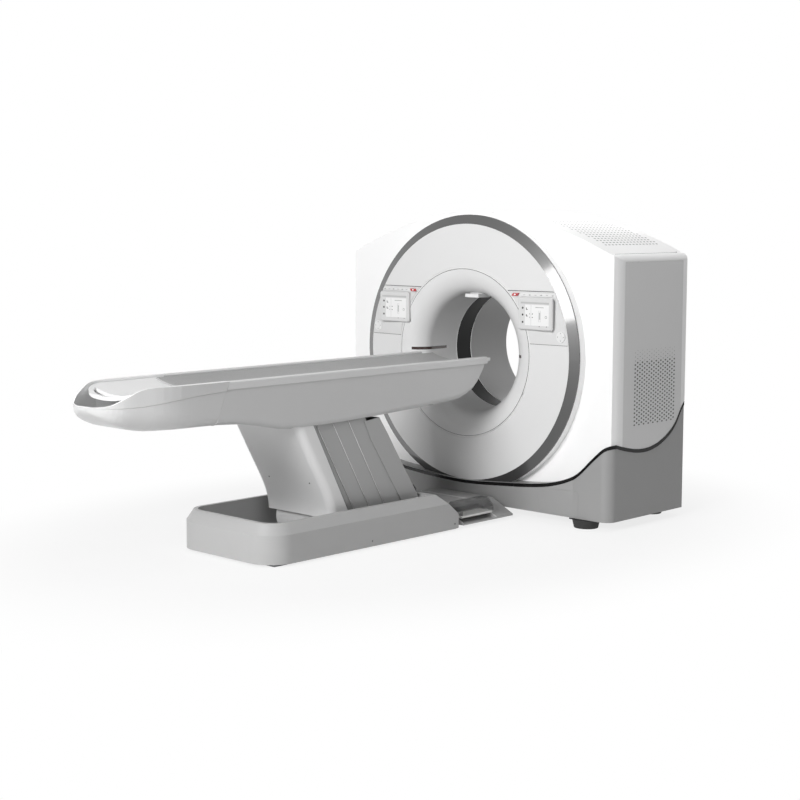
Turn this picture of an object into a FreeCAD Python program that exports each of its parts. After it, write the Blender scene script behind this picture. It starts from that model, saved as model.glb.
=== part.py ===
import FreeCAD, Part
import math
import os

V = FreeCAD.Vector

# Shared frame while modelling: x = 0 on the bore axis, y = 0 on the rear outer edge of the
# front ring (away from the table is +y), z = 0 on the floor. Millimetres. A name with "rise"
# is a height above the bore's axis, one with "inset" a distance inwards from the housing's
# side, and one with "ahead" a distance before the housing's rear.
isocentre_height = 938.0
anchor_spacing_x = 1300.0
anchor_front_y = 250.0
anchor_rear_y = 530.0
anchor_mid_y = (anchor_front_y + anchor_rear_y) / 2
far = 3000.0

# Fits and joints between covers
cover_wall = 5.0
cover_seam = 0.6
running_clearance = 0.06
button_clearance = 0.4
overshoot = 2.0

# Gantry housing
housing_half_width = 996.0
housing_front_y = 59.0
housing_rear_y = 755.0
front_seam_y = 145.0
rear_seam_ahead = 39.0
housing_floor_z = 60.0
side_panel_top_rise = 543.0
shoulder_start_rise = 550.0
shoulder_mid_inset = 11.0
shoulder_mid_rise = 574.0
shoulder_end_inset = 39.0
roof_inset_rise = [(39.0, 586.0), (176.0, 647.0), (376.0, 718.0), (596.0, 780.0), (796.0, 811.0)]
roof_top_rise = 817.0
ring_hole_overlap = 13.0
side_crown = 14.0
rear_bulge_depth = 45.0
rear_bulge_radius = 700.0
rear_bulge_inner_radius = 372.0

# Ring, disc and bore
bore_radius = 350.0
bore_wall = 5.0
funnel_mouth_radius = 487.0
funnel_mouth_y = -45.0
funnel_throat_y = 75.0
funnel_end_y = 302.0
funnel_steps = 14
seam_ring_inner = 488.5
seam_ring_outer = 500.0
seam_ring_depth = 2.0
disc_outer_y = -24.0
trim_inner_radius = 750.0
trim_width = 53.0
trim_wall = 6.0
trim_return = 8.0
ring_wall_step = 1.5
disc_seam = 0.3
window_step = 1.0
window_length = 134.0
rear_lip = 14.0

# Controls on the disc
fascia_thickness = 2.0
fascia_inner_margin = 3.0
fascia_outer_margin = 4.0
fascia_bottom_rise = 79.0
fascia_top_rise = 374.0
key_strip_x = (420.0, 660.0)
key_strip_rise = (344.0, 362.0)
key_strip_thickness = 4.0
key_count = 6
key_length = 30.0
key_pitch = 38.0
key_height = 10.0
key_rise = 0.8
key_first_x = 434.0
stop_rise_outline = [(366.0, 346.0), (404.0, 346.0), (413.0, 361.0), (375.0, 361.0)]
stop_front_y = -56.0
stop_back_y = -30.0
stop_flange = 4.0
flange_thickness = 2.5
tablet_x = (417.0, 657.0)
tablet_rise = (158.0, 339.0)
tablet_y = (-62.0, -48.0)
tablet_corner = 14.0
tablet_bevel = 5.0
screen_border = 17.0
screen_depth = 1.2
tablet_mount_x = (500.0, 590.0)
tablet_mount_rise = (182.0, 282.0)
pad_x = 697.0
pad_rise = 126.0
pad_radius = 30.0
pad_front_y = -34.0
pad_back_y = -17.0
pad_flange_radius = 33.0
key_radius = 11.5
key_front_y = -35.0
key_back_y = -12.5
key_flange_radius = 15.0
laser_half_height = 8.5
laser_y = (-30.0, 210.0)
indicator_half_width = 50.0
indicator_y = (30.0, 140.0)
indicator_drop = 30.0

# Base skirt: the wave is its upper edge, seen from the front (x, z) and from the side (y, z)
skirt_floor_z = 49.0
skirt_front_y = 29.0
skirt_corner_radius = 60.0
skirt_rear_radius = 8.0
skirt_bow = 95.0
skirt_bow_start = 1.0
skirt_bow_inset = 246.0
skirt_bow_full_z = 210.0
skirt_top_z = 720.0
wave_corner_y = 84.0
wave_middle = [(0.0, 190.0), (300.0, 205.0), (424.0, 213.0), (540.0, 224.0)]
wave_inset = [(344.0, 245.0), (289.0, 264.0), (234.0, 291.0), (180.0, 334.0), (127.0, 387.0), (74.0, 435.0),
              (22.0, 472.0), (-14.0, 480.0)]
wave_side = [(84.0, 480.0), (237.0, 444.0), (394.0, 436.0), (473.0, 450.0)]
wave_ahead = [(183.0, 489.0), (83.0, 566.0), (24.0, 648.0), (-45.0, 690.0)]
wave_reach = 750.0
trim_band_height = 20.0
trim_band_proud = 2.5
trim_band_sunk = 2.0
shelf_thickness = 4.0
ring_shelf_gap = 3.0
hatch_inset = (470.0, 209.0)
hatch_reach = 300.0
hatch_z = (56.0, 201.0)
hatch_corner = 16.0

# Gantry frame and feet
beam_inset = (256.0, 116.0)
beam_front_y = 42.0
beam_rear_gap = 15.0
beam_z = (66.0, 166.0)
portal_y = (560.0, 600.0)
portal_inset_rise = [(216.0, 622.0), (376.0, 684.0), (596.0, 746.0), (796.0, 766.0)]
cross_front_y = (70.0, 130.0)
cross_rear_y = (600.0, 660.0)
cross_top_z = 150.0
gusset_beam_gap = 50.0
gusset_thickness = 16.0
gusset_y = (300.0, 560.0)
gusset_top_z = 700.0
ear_half_length = 50.0
ear_thickness = 16.0
ear_lap = 16.0
ear_web_width = 40.0
ear_web_top_z = 80.0
anchor_hole_radius = 9.0
foot_inset = 186.0
foot_front_y = 75.0
foot_ahead = 55.0
foot_top_radius = 78.0
foot_bottom_radius = 67.5
foot_height = 45.0
foot_stem_radius = 12.0
foot_stem_top_z = 150.0
foot_collar_radius = 24.0
foot_hole_clearance = 0.2

# Rotating part
sleeve_outer_radius = 440.0
sleeve_wall = 25.0
bearing_width = 30.0
bearing_y = (545.0, 600.0)
rotor_plate_radius = 735.0
rotor_plate_y = (455.0, 490.0)
rotor_lip_radius = 715.0
rotor_lip_y = 430.0
rotor_end_y = 690.0
rotor_hole_radius = 42.0
rotor_hole_circle = 575.0
rotor_hole_count = 8
rotor_hole_first_deg = 22.5
stator_sleeve_gap = 40.0
stator_width = 80.0
stator_y = (505.0, 560.0)
magnet_sleeve_gap = 2.0
magnet_air_gap = 1.2
magnet_y = (490.0, 538.0)
slip_ring_width = 80.0
slip_ring_y = (640.0, 690.0)
slip_groove_depth = 3.0
slip_groove_count = 5
slip_groove_width = 5.0
brush_gap = 0.3
brush_half_width = 60.0
brush_block_gap = 40.0
brush_block_height = 40.0
brush_y = (646.0, 684.0)
brush_finger_half_width = 20.0
component_front_y = 250.0
tube_radius = 105.0
tube_centre_offset = 560.0
tube_cap_radius = 70.0
tube_cap_y = 225.0
collimator_half_width = 90.0
collimator_rise = 385.0
collimator_front_y = 300.0
unit_x = (430.0, 690.0)
unit_half_height = 150.0
fin_count = 9
fin_depth = 30.0
fin_slot = 14.0
detector_radii = (520.0, 620.0)
detector_y = (320.0, 455.0)
detector_half_angle = 50.0
weight_radii = (600.0, 690.0)
weight_y = (405.0, 455.0)
weight_angles = (32.0, 58.0)
sector_steps = 6

# Patient table: top
rim_top_z = 937.0
rim_bottom_z = 898.0
rim_inner_x = 232.0
rim_outer_x = 270.0
rim_head_y = -140.0
rim_round = 9.0
hull_half_width = 266.0
hull_wall = 5.0
hull_corner = 36.0
hull_profile = [(-2200.0, 726.0), (-2129.0, 726.0), (-2000.0, 718.0), (-1869.0, 699.0), (-1735.0, 671.0),
                (-1597.0, 657.0), (-1456.0, 655.0), (-1311.0, 657.0), (-1163.0, 662.0), (-1011.0, 667.0),
                (-854.0, 675.0), (-694.0, 681.0), (-529.0, 697.0), (-440.0, 703.0), (-360.0, 713.0),
                (-305.0, 730.0), (-257.0, 755.0), (-220.0, 789.0), (-188.0, 835.0), (-171.0, 880.0)]
hull_opening_x = 257.5
hull_opening_y = (-1650.0, -590.0)
channel_half_width = 231.0
channel_bottom_z = 852.0
nose_seam_top_y = -2080.0
nose_seam_bottom_y = -2165.0
nose_seam_bottom_z = 726.0
nose_stations = [-2060.0, -2130.0, -2200.0, -2260.0, -2320.0, -2375.0, -2425.0, -2470.0, -2510.0, -2545.0,
                 -2577.0, -2606.0, -2632.0, -2655.0, -2676.0, -2695.0, -2711.0, -2724.0, -2734.0, -2741.0,
                 -2746.0, -2750.0]
bowl_stations = [-2050.0, -2130.0, -2200.0, -2260.0, -2320.0, -2375.0, -2425.0, -2470.0, -2510.0, -2545.0,
                 -2577.0, -2606.0, -2632.0, -2655.0, -2676.0, -2695.0, -2711.0, -2724.0, -2733.0, -2739.0]
nose_plan = [(-2750.0, 34.0), (-2746.0, 56.0), (-2736.0, 88.0), (-2720.0, 123.0), (-2700.0, 151.0),
             (-2680.0, 170.0), (-2655.0, 187.0), (-2620.0, 203.0), (-2580.0, 217.0), (-2540.0, 230.0),
             (-2500.0, 243.0), (-2440.0, 257.0), (-2360.0, 267.0), (-2250.0, 270.0), (-2000.0, 270.0)]
bowl_plan = [(-2739.0, 62.0), (-2733.0, 82.0), (-2720.0, 110.0), (-2700.0, 138.0), (-2680.0, 157.0),
             (-2655.0, 174.0), (-2620.0, 190.0), (-2580.0, 204.0), (-2540.0, 217.0), (-2500.0, 229.0),
             (-2440.0, 232.0), (-2000.0, 232.0)]
nose_keel = [(-2750.0, 832.0), (-2746.0, 824.0), (-2736.0, 812.0), (-2720.0, 799.0), (-2700.0, 785.0),
             (-2680.0, 773.0), (-2650.0, 759.0), (-2600.0, 740.0), (-2540.0, 727.0), (-2480.0, 723.0),
             (-2400.0, 723.0), (-2200.0, 726.0), (-2000.0, 726.0)]
nose_lip = [(-2750.0, 846.0), (-2740.0, 849.0), (-2720.0, 854.0), (-2700.0, 860.0), (-2680.0, 871.0),
            (-2660.0, 883.0), (-2640.0, 894.0), (-2620.0, 905.0), (-2600.0, 916.0), (-2580.0, 925.0),
            (-2560.0, 931.0), (-2530.0, 935.0), (-2490.0, 937.0), (-2000.0, 937.0)]
nose_crease = [(-2750.0, 842.0), (-2700.0, 847.0), (-2640.0, 849.0), (-2580.0, 851.0), (-2510.0, 858.0),
               (-2425.0, 868.0), (-2340.0, 878.0), (-2220.0, 887.0), (-2100.0, 893.0), (-2000.0, 898.0)]
nose_crease_step = 4.0
nose_corner = [(-2750.0, 110.0), (-2500.0, 100.0), (-2300.0, 66.0), (-2165.0, 46.0), (-2000.0, 46.0)]
nose_corner_share = 0.9
nose_corner_width = 0.85
bowl_floor = 8.0
bowl_corner = 70.0
seam_reach = 300.0

# Cradle and mat
cradle_half_width = 228.0
cradle_edge_z = 925.0
cradle_centre_z = 885.0
cradle_thickness = 18.0
cradle_foot_y = -2625.0
cradle_head_y = -70.0
cradle_corner = 150.0
grip_bar_width = 24.0
grip_slot_rear_y = -2545.0
grip_seam_y = -2505.0
runner_x = (140.0, 170.0)
runner_bottom_z = 856.3
runner_top_z = 893.0
runner_y = (-2450.0, -90.0)
rail_x = (136.0, 174.0)
rail_top_z = 856.0
rail_y = (-2000.0, -330.0)
mat_half_width = 215.0
mat_thickness = 10.0
mat_foot_y = -2150.0

# Table frame inside the hull. The table top is drawn with its rear upper pivot at the datum (y, z)
# and is then set on the arms.
table_datum = (-1152.0, 727.7)
frame_beam_x = (190.0, 222.0)
frame_beam_z = (780.0, 850.0)
frame_beam_y = (-2000.0, -330.0)
frame_plate_x = (222.0, 230.0)
frame_plate_y = (-1611.0, -1114.0)
frame_plate_bottom_z = 690.0
frame_cross_y = [-1980.0, -1660.0, -1374.0, -1000.0, -740.0, -360.0]
frame_cross_width = 50.0
drive_box = (-100.0, 100.0, -690.0, -470.0, 765.0, 846.0)
hanger_z = (735.0, 780.0)
hanger_y = [-1900.0, -460.0]
hanger_length = 60.0

# Lift: two equal arms that lean together, and the cover strips beside them
lift_pivot_z = 118.0
arm_length = 704.0
arm_lean_deg = 30.0
front_pivot_y = -1245.0
rear_pivot_y = -800.0
shaft_radius = 12.0
arm_x = (140.0, 175.0)
arm_half_depth = 25.0
arm_boss_radius = 28.0
arm_tube_radius = 20.0
strip_pivot_radius = 5.0
strip_reference_z = 438.0
strip_bands = [(-1410.0, -1325.0), (-1341.0, -1210.0), (-1228.0, -1097.0), (-1115.0, -985.0)]
strip_pin_y = [-1182.8, -1090.8, -977.8, -865.3]
strip_first_x = 236.0
strip_pitch_x = 3.0
strip_thickness = 2.0
strip_z = (98.0, 700.0)
rear_cover_x = (248.0, 251.5)
rear_cover_edge = [(-1018.0, 667.0), (-955.0, 578.0), (-889.0, 477.0), (-813.0, 362.0), (-734.0, 245.0),
                   (-704.0, 198.0), (-691.0, 150.0)]
rear_cover_flange = [(-1130.0, 654.0), (-1080.0, 553.0), (-844.0, 202.0), (-815.0, 150.0)]
rear_cover_wall = 4.0
rear_web_z = (300.0, 480.0)
rear_space_y = -2490.0
web_x = (146.0, 164.0)
web_height = 60.0
web_reach = 170.0
front_shell_x = (252.0, 256.0)
front_shell_edge = [(-1640.0, 700.0), (-1605.0, 641.0), (-1493.0, 443.0), (-1427.0, 327.0), (-1400.0, 270.0),
                    (-1375.0, 163.0)]
front_shell_rear = [(-1238.0, 163.0), (-1495.0, 646.0), (-1524.0, 700.0)]
front_shell_ridge = 42.0
front_void_top = (-30.0, 50.0)
front_void_foot = (5.0, -30.0)
front_void_depth = 300.0
ridge_min_height = 300.0
front_web_z = (330.0, 520.0)
heel_radius = 90.0
heel_wall = 4.0
heel_half_width = 215.0
heel_cheek_x = (175.0, 179.0)
heel_top_z = 150.0
shell_screw_x = [-155.0, 155.0]
shell_screw_z = 350.0
shell_screw_length = 30.0
small_screw_radius = 4.0
small_screw_proud = 0.6

# Table base
base_half_width = 367.0
base_y = (-1916.0, -460.0)
base_bottom_z = 12.0
base_shoulder_z = 158.0
base_top_z = 213.0
base_inset = 37.0
base_front_corner = 150.0
base_rear_corner = 60.0
base_slope = [(-652.0, 213.0), (-465.0, 66.0)]
slope_reach = 300.0
well_half_width = 309.0
well_y = (-1850.0, -680.0)
well_corner = 84.0
well_wall = 4.0
base_plate_half_width = 330.0
base_plate_y = (-1850.0, -480.0)
base_plate_thickness = 14.0
base_side_x = (222.0, 230.0)
base_side_y = (-1300.0, -740.0)
base_side_top_z = 150.0
base_anchor = (283.0, -1720.0, -600.0)
base_anchor_radius = 6.5
lift_motor_box = (-100.0, 100.0, -780.0, -690.0, 14.0, 120.0)
lift_gear_radius = 46.0
lift_gear_half_width = 100.0
base_screw_y = [-1188.0, -531.0]
base_screw_z = 40.0

# Pedal platform between the base and the gantry
platform_y = (-458.0, -24.0)
platform_outline = [(367.0, 20.0), (367.0, 30.0), (210.0, 108.0)]
platform_inner_outline = [(357.0, 15.0), (355.0, 29.0), (207.0, 103.0)]
recess_x = 240.0
recess_y = (-450.0, -180.0)
recess_floor_z = 26.0
recess_wall = 5.0
hood_outline = [(240.0, 70.0), (240.0, 120.0), (262.0, 142.0), (306.0, 142.0), (352.0, 100.0), (352.0, 70.0)]
hood_wall = 3.0
toe_opening_z = 94.0
pedal_pin = (254.0, 60.0)
pedal_pin_radius = 4.0
pedal_boss_radius = 9.0
pedal_outer_x = 345.0
pedal_z = (54.0, 66.0)
pedal_end_gap = 5.0
pedal_round = 5.0


# Sizes that follow from those above
shoulder_end_x = housing_half_width - shoulder_end_inset
side_panel_top_z = isocentre_height + side_panel_top_rise
roof_points = [(housing_half_width - inset, isocentre_height + rise) for inset, rise in roof_inset_rise]
roof_points.append((0.0, isocentre_height + roof_top_rise))
rear_seam_y = housing_rear_y - rear_seam_ahead
rear_bulge_y = housing_rear_y + rear_bulge_depth
trim_outer_radius = trim_inner_radius + trim_width
disc_outer_radius = trim_inner_radius - disc_seam
fascia_inner_radius = seam_ring_outer + fascia_inner_margin
fascia_outer_radius = trim_inner_radius - fascia_outer_margin
fascia_z = (isocentre_height + fascia_bottom_rise, isocentre_height + fascia_top_rise)
key_strip_z = tuple(isocentre_height + rise for rise in key_strip_rise)
stop_outline = [(x, isocentre_height + rise) for x, rise in stop_rise_outline]
tablet_z = tuple(isocentre_height + rise for rise in tablet_rise)
tablet_mount_z = tuple(isocentre_height + rise for rise in tablet_mount_rise)
pad_z = isocentre_height + pad_rise
window_y = (funnel_end_y + window_step, funnel_end_y + window_step + window_length)
rear_tube_start_y = window_y[1] + window_step
wave_front = wave_middle + [(housing_half_width - inset, z) for inset, z in wave_inset]
wave_side += [(housing_rear_y - ahead, z) for ahead, z in wave_ahead]
hatch_x = tuple(housing_half_width - inset for inset in hatch_inset)
beam_x = tuple(housing_half_width - inset for inset in beam_inset)
portal_outline = [(housing_half_width - inset, isocentre_height + rise) for inset, rise in portal_inset_rise]
ear_x = (anchor_spacing_x / 2 - ear_half_length, beam_x[0] + ear_lap)
foot_x = housing_half_width - foot_inset
foot_positions = [(foot_x, foot_front_y), (foot_x, housing_rear_y - foot_ahead)]
bearing_outer_radius = sleeve_outer_radius + bearing_width
stator_inner_radius = sleeve_outer_radius + stator_sleeve_gap
slip_ring_radius = sleeve_outer_radius + slip_ring_width
brush_block_bottom_z = isocentre_height + slip_ring_radius + brush_block_gap
collimator_bottom_z = isocentre_height + collimator_rise


def box(x0, x1, y0, y1, z0, z1):
    return Part.makeBox(x1 - x0, y1 - y0, z1 - z0, V(x0, y0, z0))


def rod_x(y, z, radius, x0, x1):
    return Part.makeCylinder(radius, x1 - x0, V(x0, y, z), V(1, 0, 0))


def rod_y(x, z, radius, y0, y1):
    return Part.makeCylinder(radius, y1 - y0, V(x, y0, z), V(0, 1, 0))


def rod_z(x, y, radius, z0, z1):
    return Part.makeCylinder(radius, z1 - z0, V(x, y, z0), V(0, 0, 1))


def face_of(points):
    return Part.Face(Part.makePolygon(points + [points[0]]))


def prism_x(outline, x0, x1):
    return face_of([V(x0, y, z) for y, z in outline]).extrude(V(x1 - x0, 0, 0))


def prism_y(outline, y0, y1):
    return face_of([V(x, y0, z) for x, z in outline]).extrude(V(0, y1 - y0, 0))


def turned(profile):
    face = face_of([V(radius, y, isocentre_height) for radius, y in profile])
    return face.revolve(V(0, 0, isocentre_height), V(0, 1, 0), 360)


def ring(inner, outer, y0, y1):
    return turned([(inner, y0), (outer, y0), (outer, y1), (inner, y1)])


def mirrored(shape):
    return shape.mirror(V(0, 0, 0), V(1, 0, 0))


def pair(shape):
    return Part.makeCompound([shape, mirrored(shape)])


def joined(shapes):
    return shapes[0].fuse(shapes[1:]).removeSplitter()


def both_sides(shape):
    return shape.fuse(mirrored(shape))


def smooth_edge(points):
    curve = Part.BSplineCurve()
    curve.interpolate(points)
    return curve.toShape()


def line(start, end):
    return Part.makeLine(start, end)


def interpolate(table, at):
    for (a, low), (b, high) in zip(table, table[1:]):
        if a <= at <= b:
            return low + (high - low) * (at - a) / (b - a)
    return table[-1][1] if at > table[-1][0] else table[0][1]


def smooth_value(table, at):
    """A value read off a smooth line through the table's points, which never overshoots them."""
    slopes = [(high - low) / (b - a) for (a, low), (b, high) in zip(table, table[1:])]
    for index, slope in enumerate(slopes):
        (a, low), (b, high) = table[index], table[index + 1]
        if a <= at <= b:
            start = level_slope(slopes[max(index - 1, 0)], slope)
            end = level_slope(slope, slopes[min(index + 1, len(slopes) - 1)])
            share = (at - a) / (b - a)
            bend = share * (1 - share) * (b - a)
            flat = low + (high - low) * share ** 2 * (3 - 2 * share)
            return flat + bend * (start * (1 - share) - end * share)
    return interpolate(table, at)


def level_slope(before, after):
    if before * after <= 0:
        return 0.0
    return 2 * before * after / (before + after)


def offset_points(points, distance):
    """Each point of an open line moved sideways by the distance, to the left of its run."""
    moved = []
    for index, (u, v) in enumerate(points):
        before = points[max(index - 1, 0)]
        after = points[min(index + 1, len(points) - 1)]
        run = math.hypot(after[0] - before[0], after[1] - before[1])
        moved.append((u - (after[1] - before[1]) / run * distance,
                      v + (after[0] - before[0]) / run * distance))
    return moved


def rounded_plan(half_width, y0, y1, front_corner, rear_corner, z):
    """Closed outline at a height: straight sides, own corner radius at either end."""
    def corner(cx, cy, radius, start_deg):
        points = [V(cx + radius * math.cos(math.radians(start_deg + step)),
                    cy + radius * math.sin(math.radians(start_deg + step)), z) for step in (0, 45, 90)]
        return Part.Arc(*points).toShape()

    right = half_width - front_corner
    right_rear = half_width - rear_corner
    arcs = [corner(-right, y0 + front_corner, front_corner, 180),
            corner(right, y0 + front_corner, front_corner, 270),
            corner(right_rear, y1 - rear_corner, rear_corner, 0),
            corner(-right_rear, y1 - rear_corner, rear_corner, 90)]
    edges = []
    for arc, following in zip(arcs, arcs[1:] + arcs[:1]):
        edges.append(arc)
        edges.append(line(arc.Vertexes[-1].Point, following.Vertexes[0].Point))
    return Part.Wire(edges)


def plan_block(half_width, y0, y1, front_corner, rear_corner, z0, z1):
    plan = Part.Face(rounded_plan(half_width, y0, y1, front_corner, rear_corner, z0))
    return plan.extrude(V(0, 0, z1 - z0))


# ---------------------------------------------------------------- gantry covers

def gantry_block(inset, y0, y1):
    side = housing_half_width - inset
    roof = [V(x, y0, z - inset) for x, z in roof_points]
    roof_line = [V(-point.x, y0, point.z) for point in roof[:-1]] + roof[::-1]
    bottom_left = V(-side, y0, housing_floor_z)
    bottom_right = V(side, y0, housing_floor_z)
    shoulder_left = V(-side, y0, isocentre_height + shoulder_start_rise)
    shoulder_right = V(side, y0, isocentre_height + shoulder_start_rise)
    middle_right = V(side - shoulder_mid_inset, y0, isocentre_height + shoulder_mid_rise - inset)
    middle_left = V(-middle_right.x, y0, middle_right.z)
    edges = [line(bottom_left, shoulder_left),
             Part.Arc(shoulder_left, middle_left, roof_line[0]).toShape(),
             smooth_edge(roof_line),
             Part.Arc(roof_line[-1], middle_right, shoulder_right).toShape(),
             line(shoulder_right, bottom_right),
             line(bottom_right, bottom_left)]
    return Part.Face(Part.Wire(edges)).extrude(V(0, y1 - y0, 0))


def below_wave(shift):
    """Everything under the wave line, moved up by the shift."""
    front = [V(-x, -wave_reach, z + shift) for x, z in wave_front[:0:-1]]
    front += [V(x, -wave_reach, z + shift) for x, z in wave_front]
    front_edges = [smooth_edge(front),
                   line(front[-1], V(front[-1].x, front[-1].y, 0)),
                   line(V(front[-1].x, front[-1].y, 0), V(front[0].x, front[0].y, 0)),
                   line(V(front[0].x, front[0].y, 0), front[0])]
    front_part = Part.Face(Part.Wire(front_edges)).extrude(V(0, wave_corner_y + wave_reach, 0))
    side = [V(-far / 2, y, z + shift) for y, z in wave_side]
    side_edges = [smooth_edge(side),
                  line(side[-1], V(side[-1].x, side[-1].y, 0)),
                  line(V(side[-1].x, side[-1].y, 0), V(side[0].x, side[0].y, 0)),
                  line(V(side[0].x, side[0].y, 0), side[0])]
    side_part = Part.Face(Part.Wire(side_edges)).extrude(V(far, 0, 0))
    return front_part.fuse(side_part)


def cone_y(radius):
    share = (radius - seam_ring_outer) / (trim_inner_radius - seam_ring_outer)
    return funnel_mouth_y + (disc_outer_y - funnel_mouth_y) * share


def face_slab(inner, outer, front, back):
    """A turned slab that follows the disc's cone, between two distances from its front."""
    return turned([(inner, cone_y(inner) + front), (outer, cone_y(outer) + front),
                   (outer, cone_y(outer) + back), (inner, cone_y(inner) + back)])


def funnel_curve(inset):
    reach = funnel_mouth_radius - bore_radius - inset
    depth = funnel_throat_y - funnel_mouth_y - inset
    points = []
    for step in range(funnel_steps + 1):
        turn = math.radians(90) * step / funnel_steps
        points.append((funnel_mouth_radius - reach * math.sin(turn),
                       funnel_throat_y - depth * math.cos(turn)))
    return points


def turned_funnel(outer_points, closing_points):
    """Turns a smooth curve closed by straight lines about the bore axis."""
    curve = [V(radius, y, isocentre_height) for radius, y in outer_points]
    corners = [V(radius, y, isocentre_height) for radius, y in closing_points]
    chain = [curve[-1]] + corners + [curve[0]]
    edges = [smooth_edge(curve)] + [line(a, b) for a, b in zip(chain, chain[1:])]
    face = Part.Face(Part.Wire(edges))
    return face.revolve(V(0, 0, isocentre_height), V(0, 1, 0), 360)


def funnel_parts():
    seen = turned_funnel(funnel_curve(0), [(bore_radius, funnel_end_y), (funnel_mouth_radius, funnel_end_y)])
    hidden = turned_funnel(funnel_curve(bore_wall), [(bore_radius + bore_wall, funnel_end_y + overshoot),
                                                     (funnel_mouth_radius + overshoot,
                                                      funnel_end_y + overshoot),
                                                     (funnel_mouth_radius + overshoot,
                                                      funnel_mouth_y + bore_wall)])
    funnel = seen.cut(hidden)
    slot = box(0, far, laser_y[0], laser_y[1], isocentre_height - laser_half_height,
               isocentre_height + laser_half_height)
    slots = both_sides(slot)
    return funnel.cut(slots), funnel.common(slots)


def side_crown_cut(inset):
    """What the gentle bow of the housing's side takes off between its front and the panel's seam."""
    side = housing_half_width - inset
    length = front_seam_y - housing_front_y
    bend = (length ** 2 + side_crown ** 2) / (2 * side_crown)
    middle_y = front_seam_y - length / 2
    start = V(side, front_seam_y, 0)
    middle = V(side - bend + math.sqrt(bend ** 2 - (length / 2) ** 2), middle_y, 0)
    end = V(side - side_crown, housing_front_y, 0)
    ahead = V(end.x, housing_front_y - overshoot * 2, 0)
    outside = V(housing_half_width + overshoot, ahead.y, 0)
    edges = [Part.Arc(start, middle, end).toShape(), line(end, ahead), line(ahead, outside),
             line(outside, V(outside.x, front_seam_y, 0)), line(V(outside.x, front_seam_y, 0), start)]
    return Part.Face(Part.Wire(edges)).extrude(V(0, 0, far))


def make_gantry_covers(nodes):
    crowns = both_sides(side_crown_cut(0))
    ring_body = gantry_block(0, housing_front_y, housing_rear_y).cut(crowns)
    ring_void = gantry_block(cover_wall, housing_front_y - overshoot, housing_rear_y + overshoot)
    ring_void = ring_void.cut(both_sides(side_crown_cut(cover_wall)))
    shell = ring_body.cut(ring_void)
    under_covers = below_wave(cover_seam)
    shell = shell.cut(under_covers)

    front_plate = gantry_block(0, housing_front_y, housing_front_y + cover_wall)
    ring_hole_radius = trim_outer_radius - ring_hole_overlap
    front_plate = front_plate.cut(rod_y(0, isocentre_height, ring_hole_radius, -far, far))
    front_plate = front_plate.cut(crowns).cut(under_covers)
    ring_wall = ring(trim_outer_radius - trim_wall, trim_outer_radius - ring_wall_step, trim_return,
                     housing_front_y + cover_wall).cut(under_covers)
    front_band = shell.common(box(-far, far, housing_front_y, front_seam_y, 0, far))
    nodes["front_housing"] = joined([front_band, front_plate, ring_wall])

    middle = shell.common(box(-far, far, front_seam_y + cover_seam, rear_seam_y - cover_seam, 0, far))
    lid_x = shoulder_end_x
    nodes["roof_cover"] = middle.common(box(-lid_x, lid_x, -far, far, side_panel_top_z, far))
    rail = middle.common(box(lid_x + cover_seam, far, -far, far, side_panel_top_z + cover_seam, far))
    nodes["roof_edge_rails"] = pair(rail)
    panel = middle.common(box(lid_x, far, -far, far, 0, side_panel_top_z))
    nodes["side_panels"] = pair(panel)

    rear_plate = gantry_block(0, housing_rear_y - cover_wall, housing_rear_y)
    rear_plate = rear_plate.cut(rod_y(0, isocentre_height, rear_bulge_radius - cover_wall, -far, far))
    rear_plate = rear_plate.cut(under_covers)
    bulge = turned([(rear_bulge_radius, housing_rear_y), (rear_bulge_inner_radius, rear_bulge_y),
                    (rear_bulge_inner_radius, rear_bulge_y - cover_wall),
                    (rear_bulge_radius - cover_wall, housing_rear_y - cover_wall),
                    (rear_bulge_radius, housing_rear_y - cover_wall)])
    rear_band = shell.common(box(-far, far, rear_seam_y, housing_rear_y, 0, far))
    nodes["rear_cover"] = joined([rear_band, rear_plate, bulge])


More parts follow.
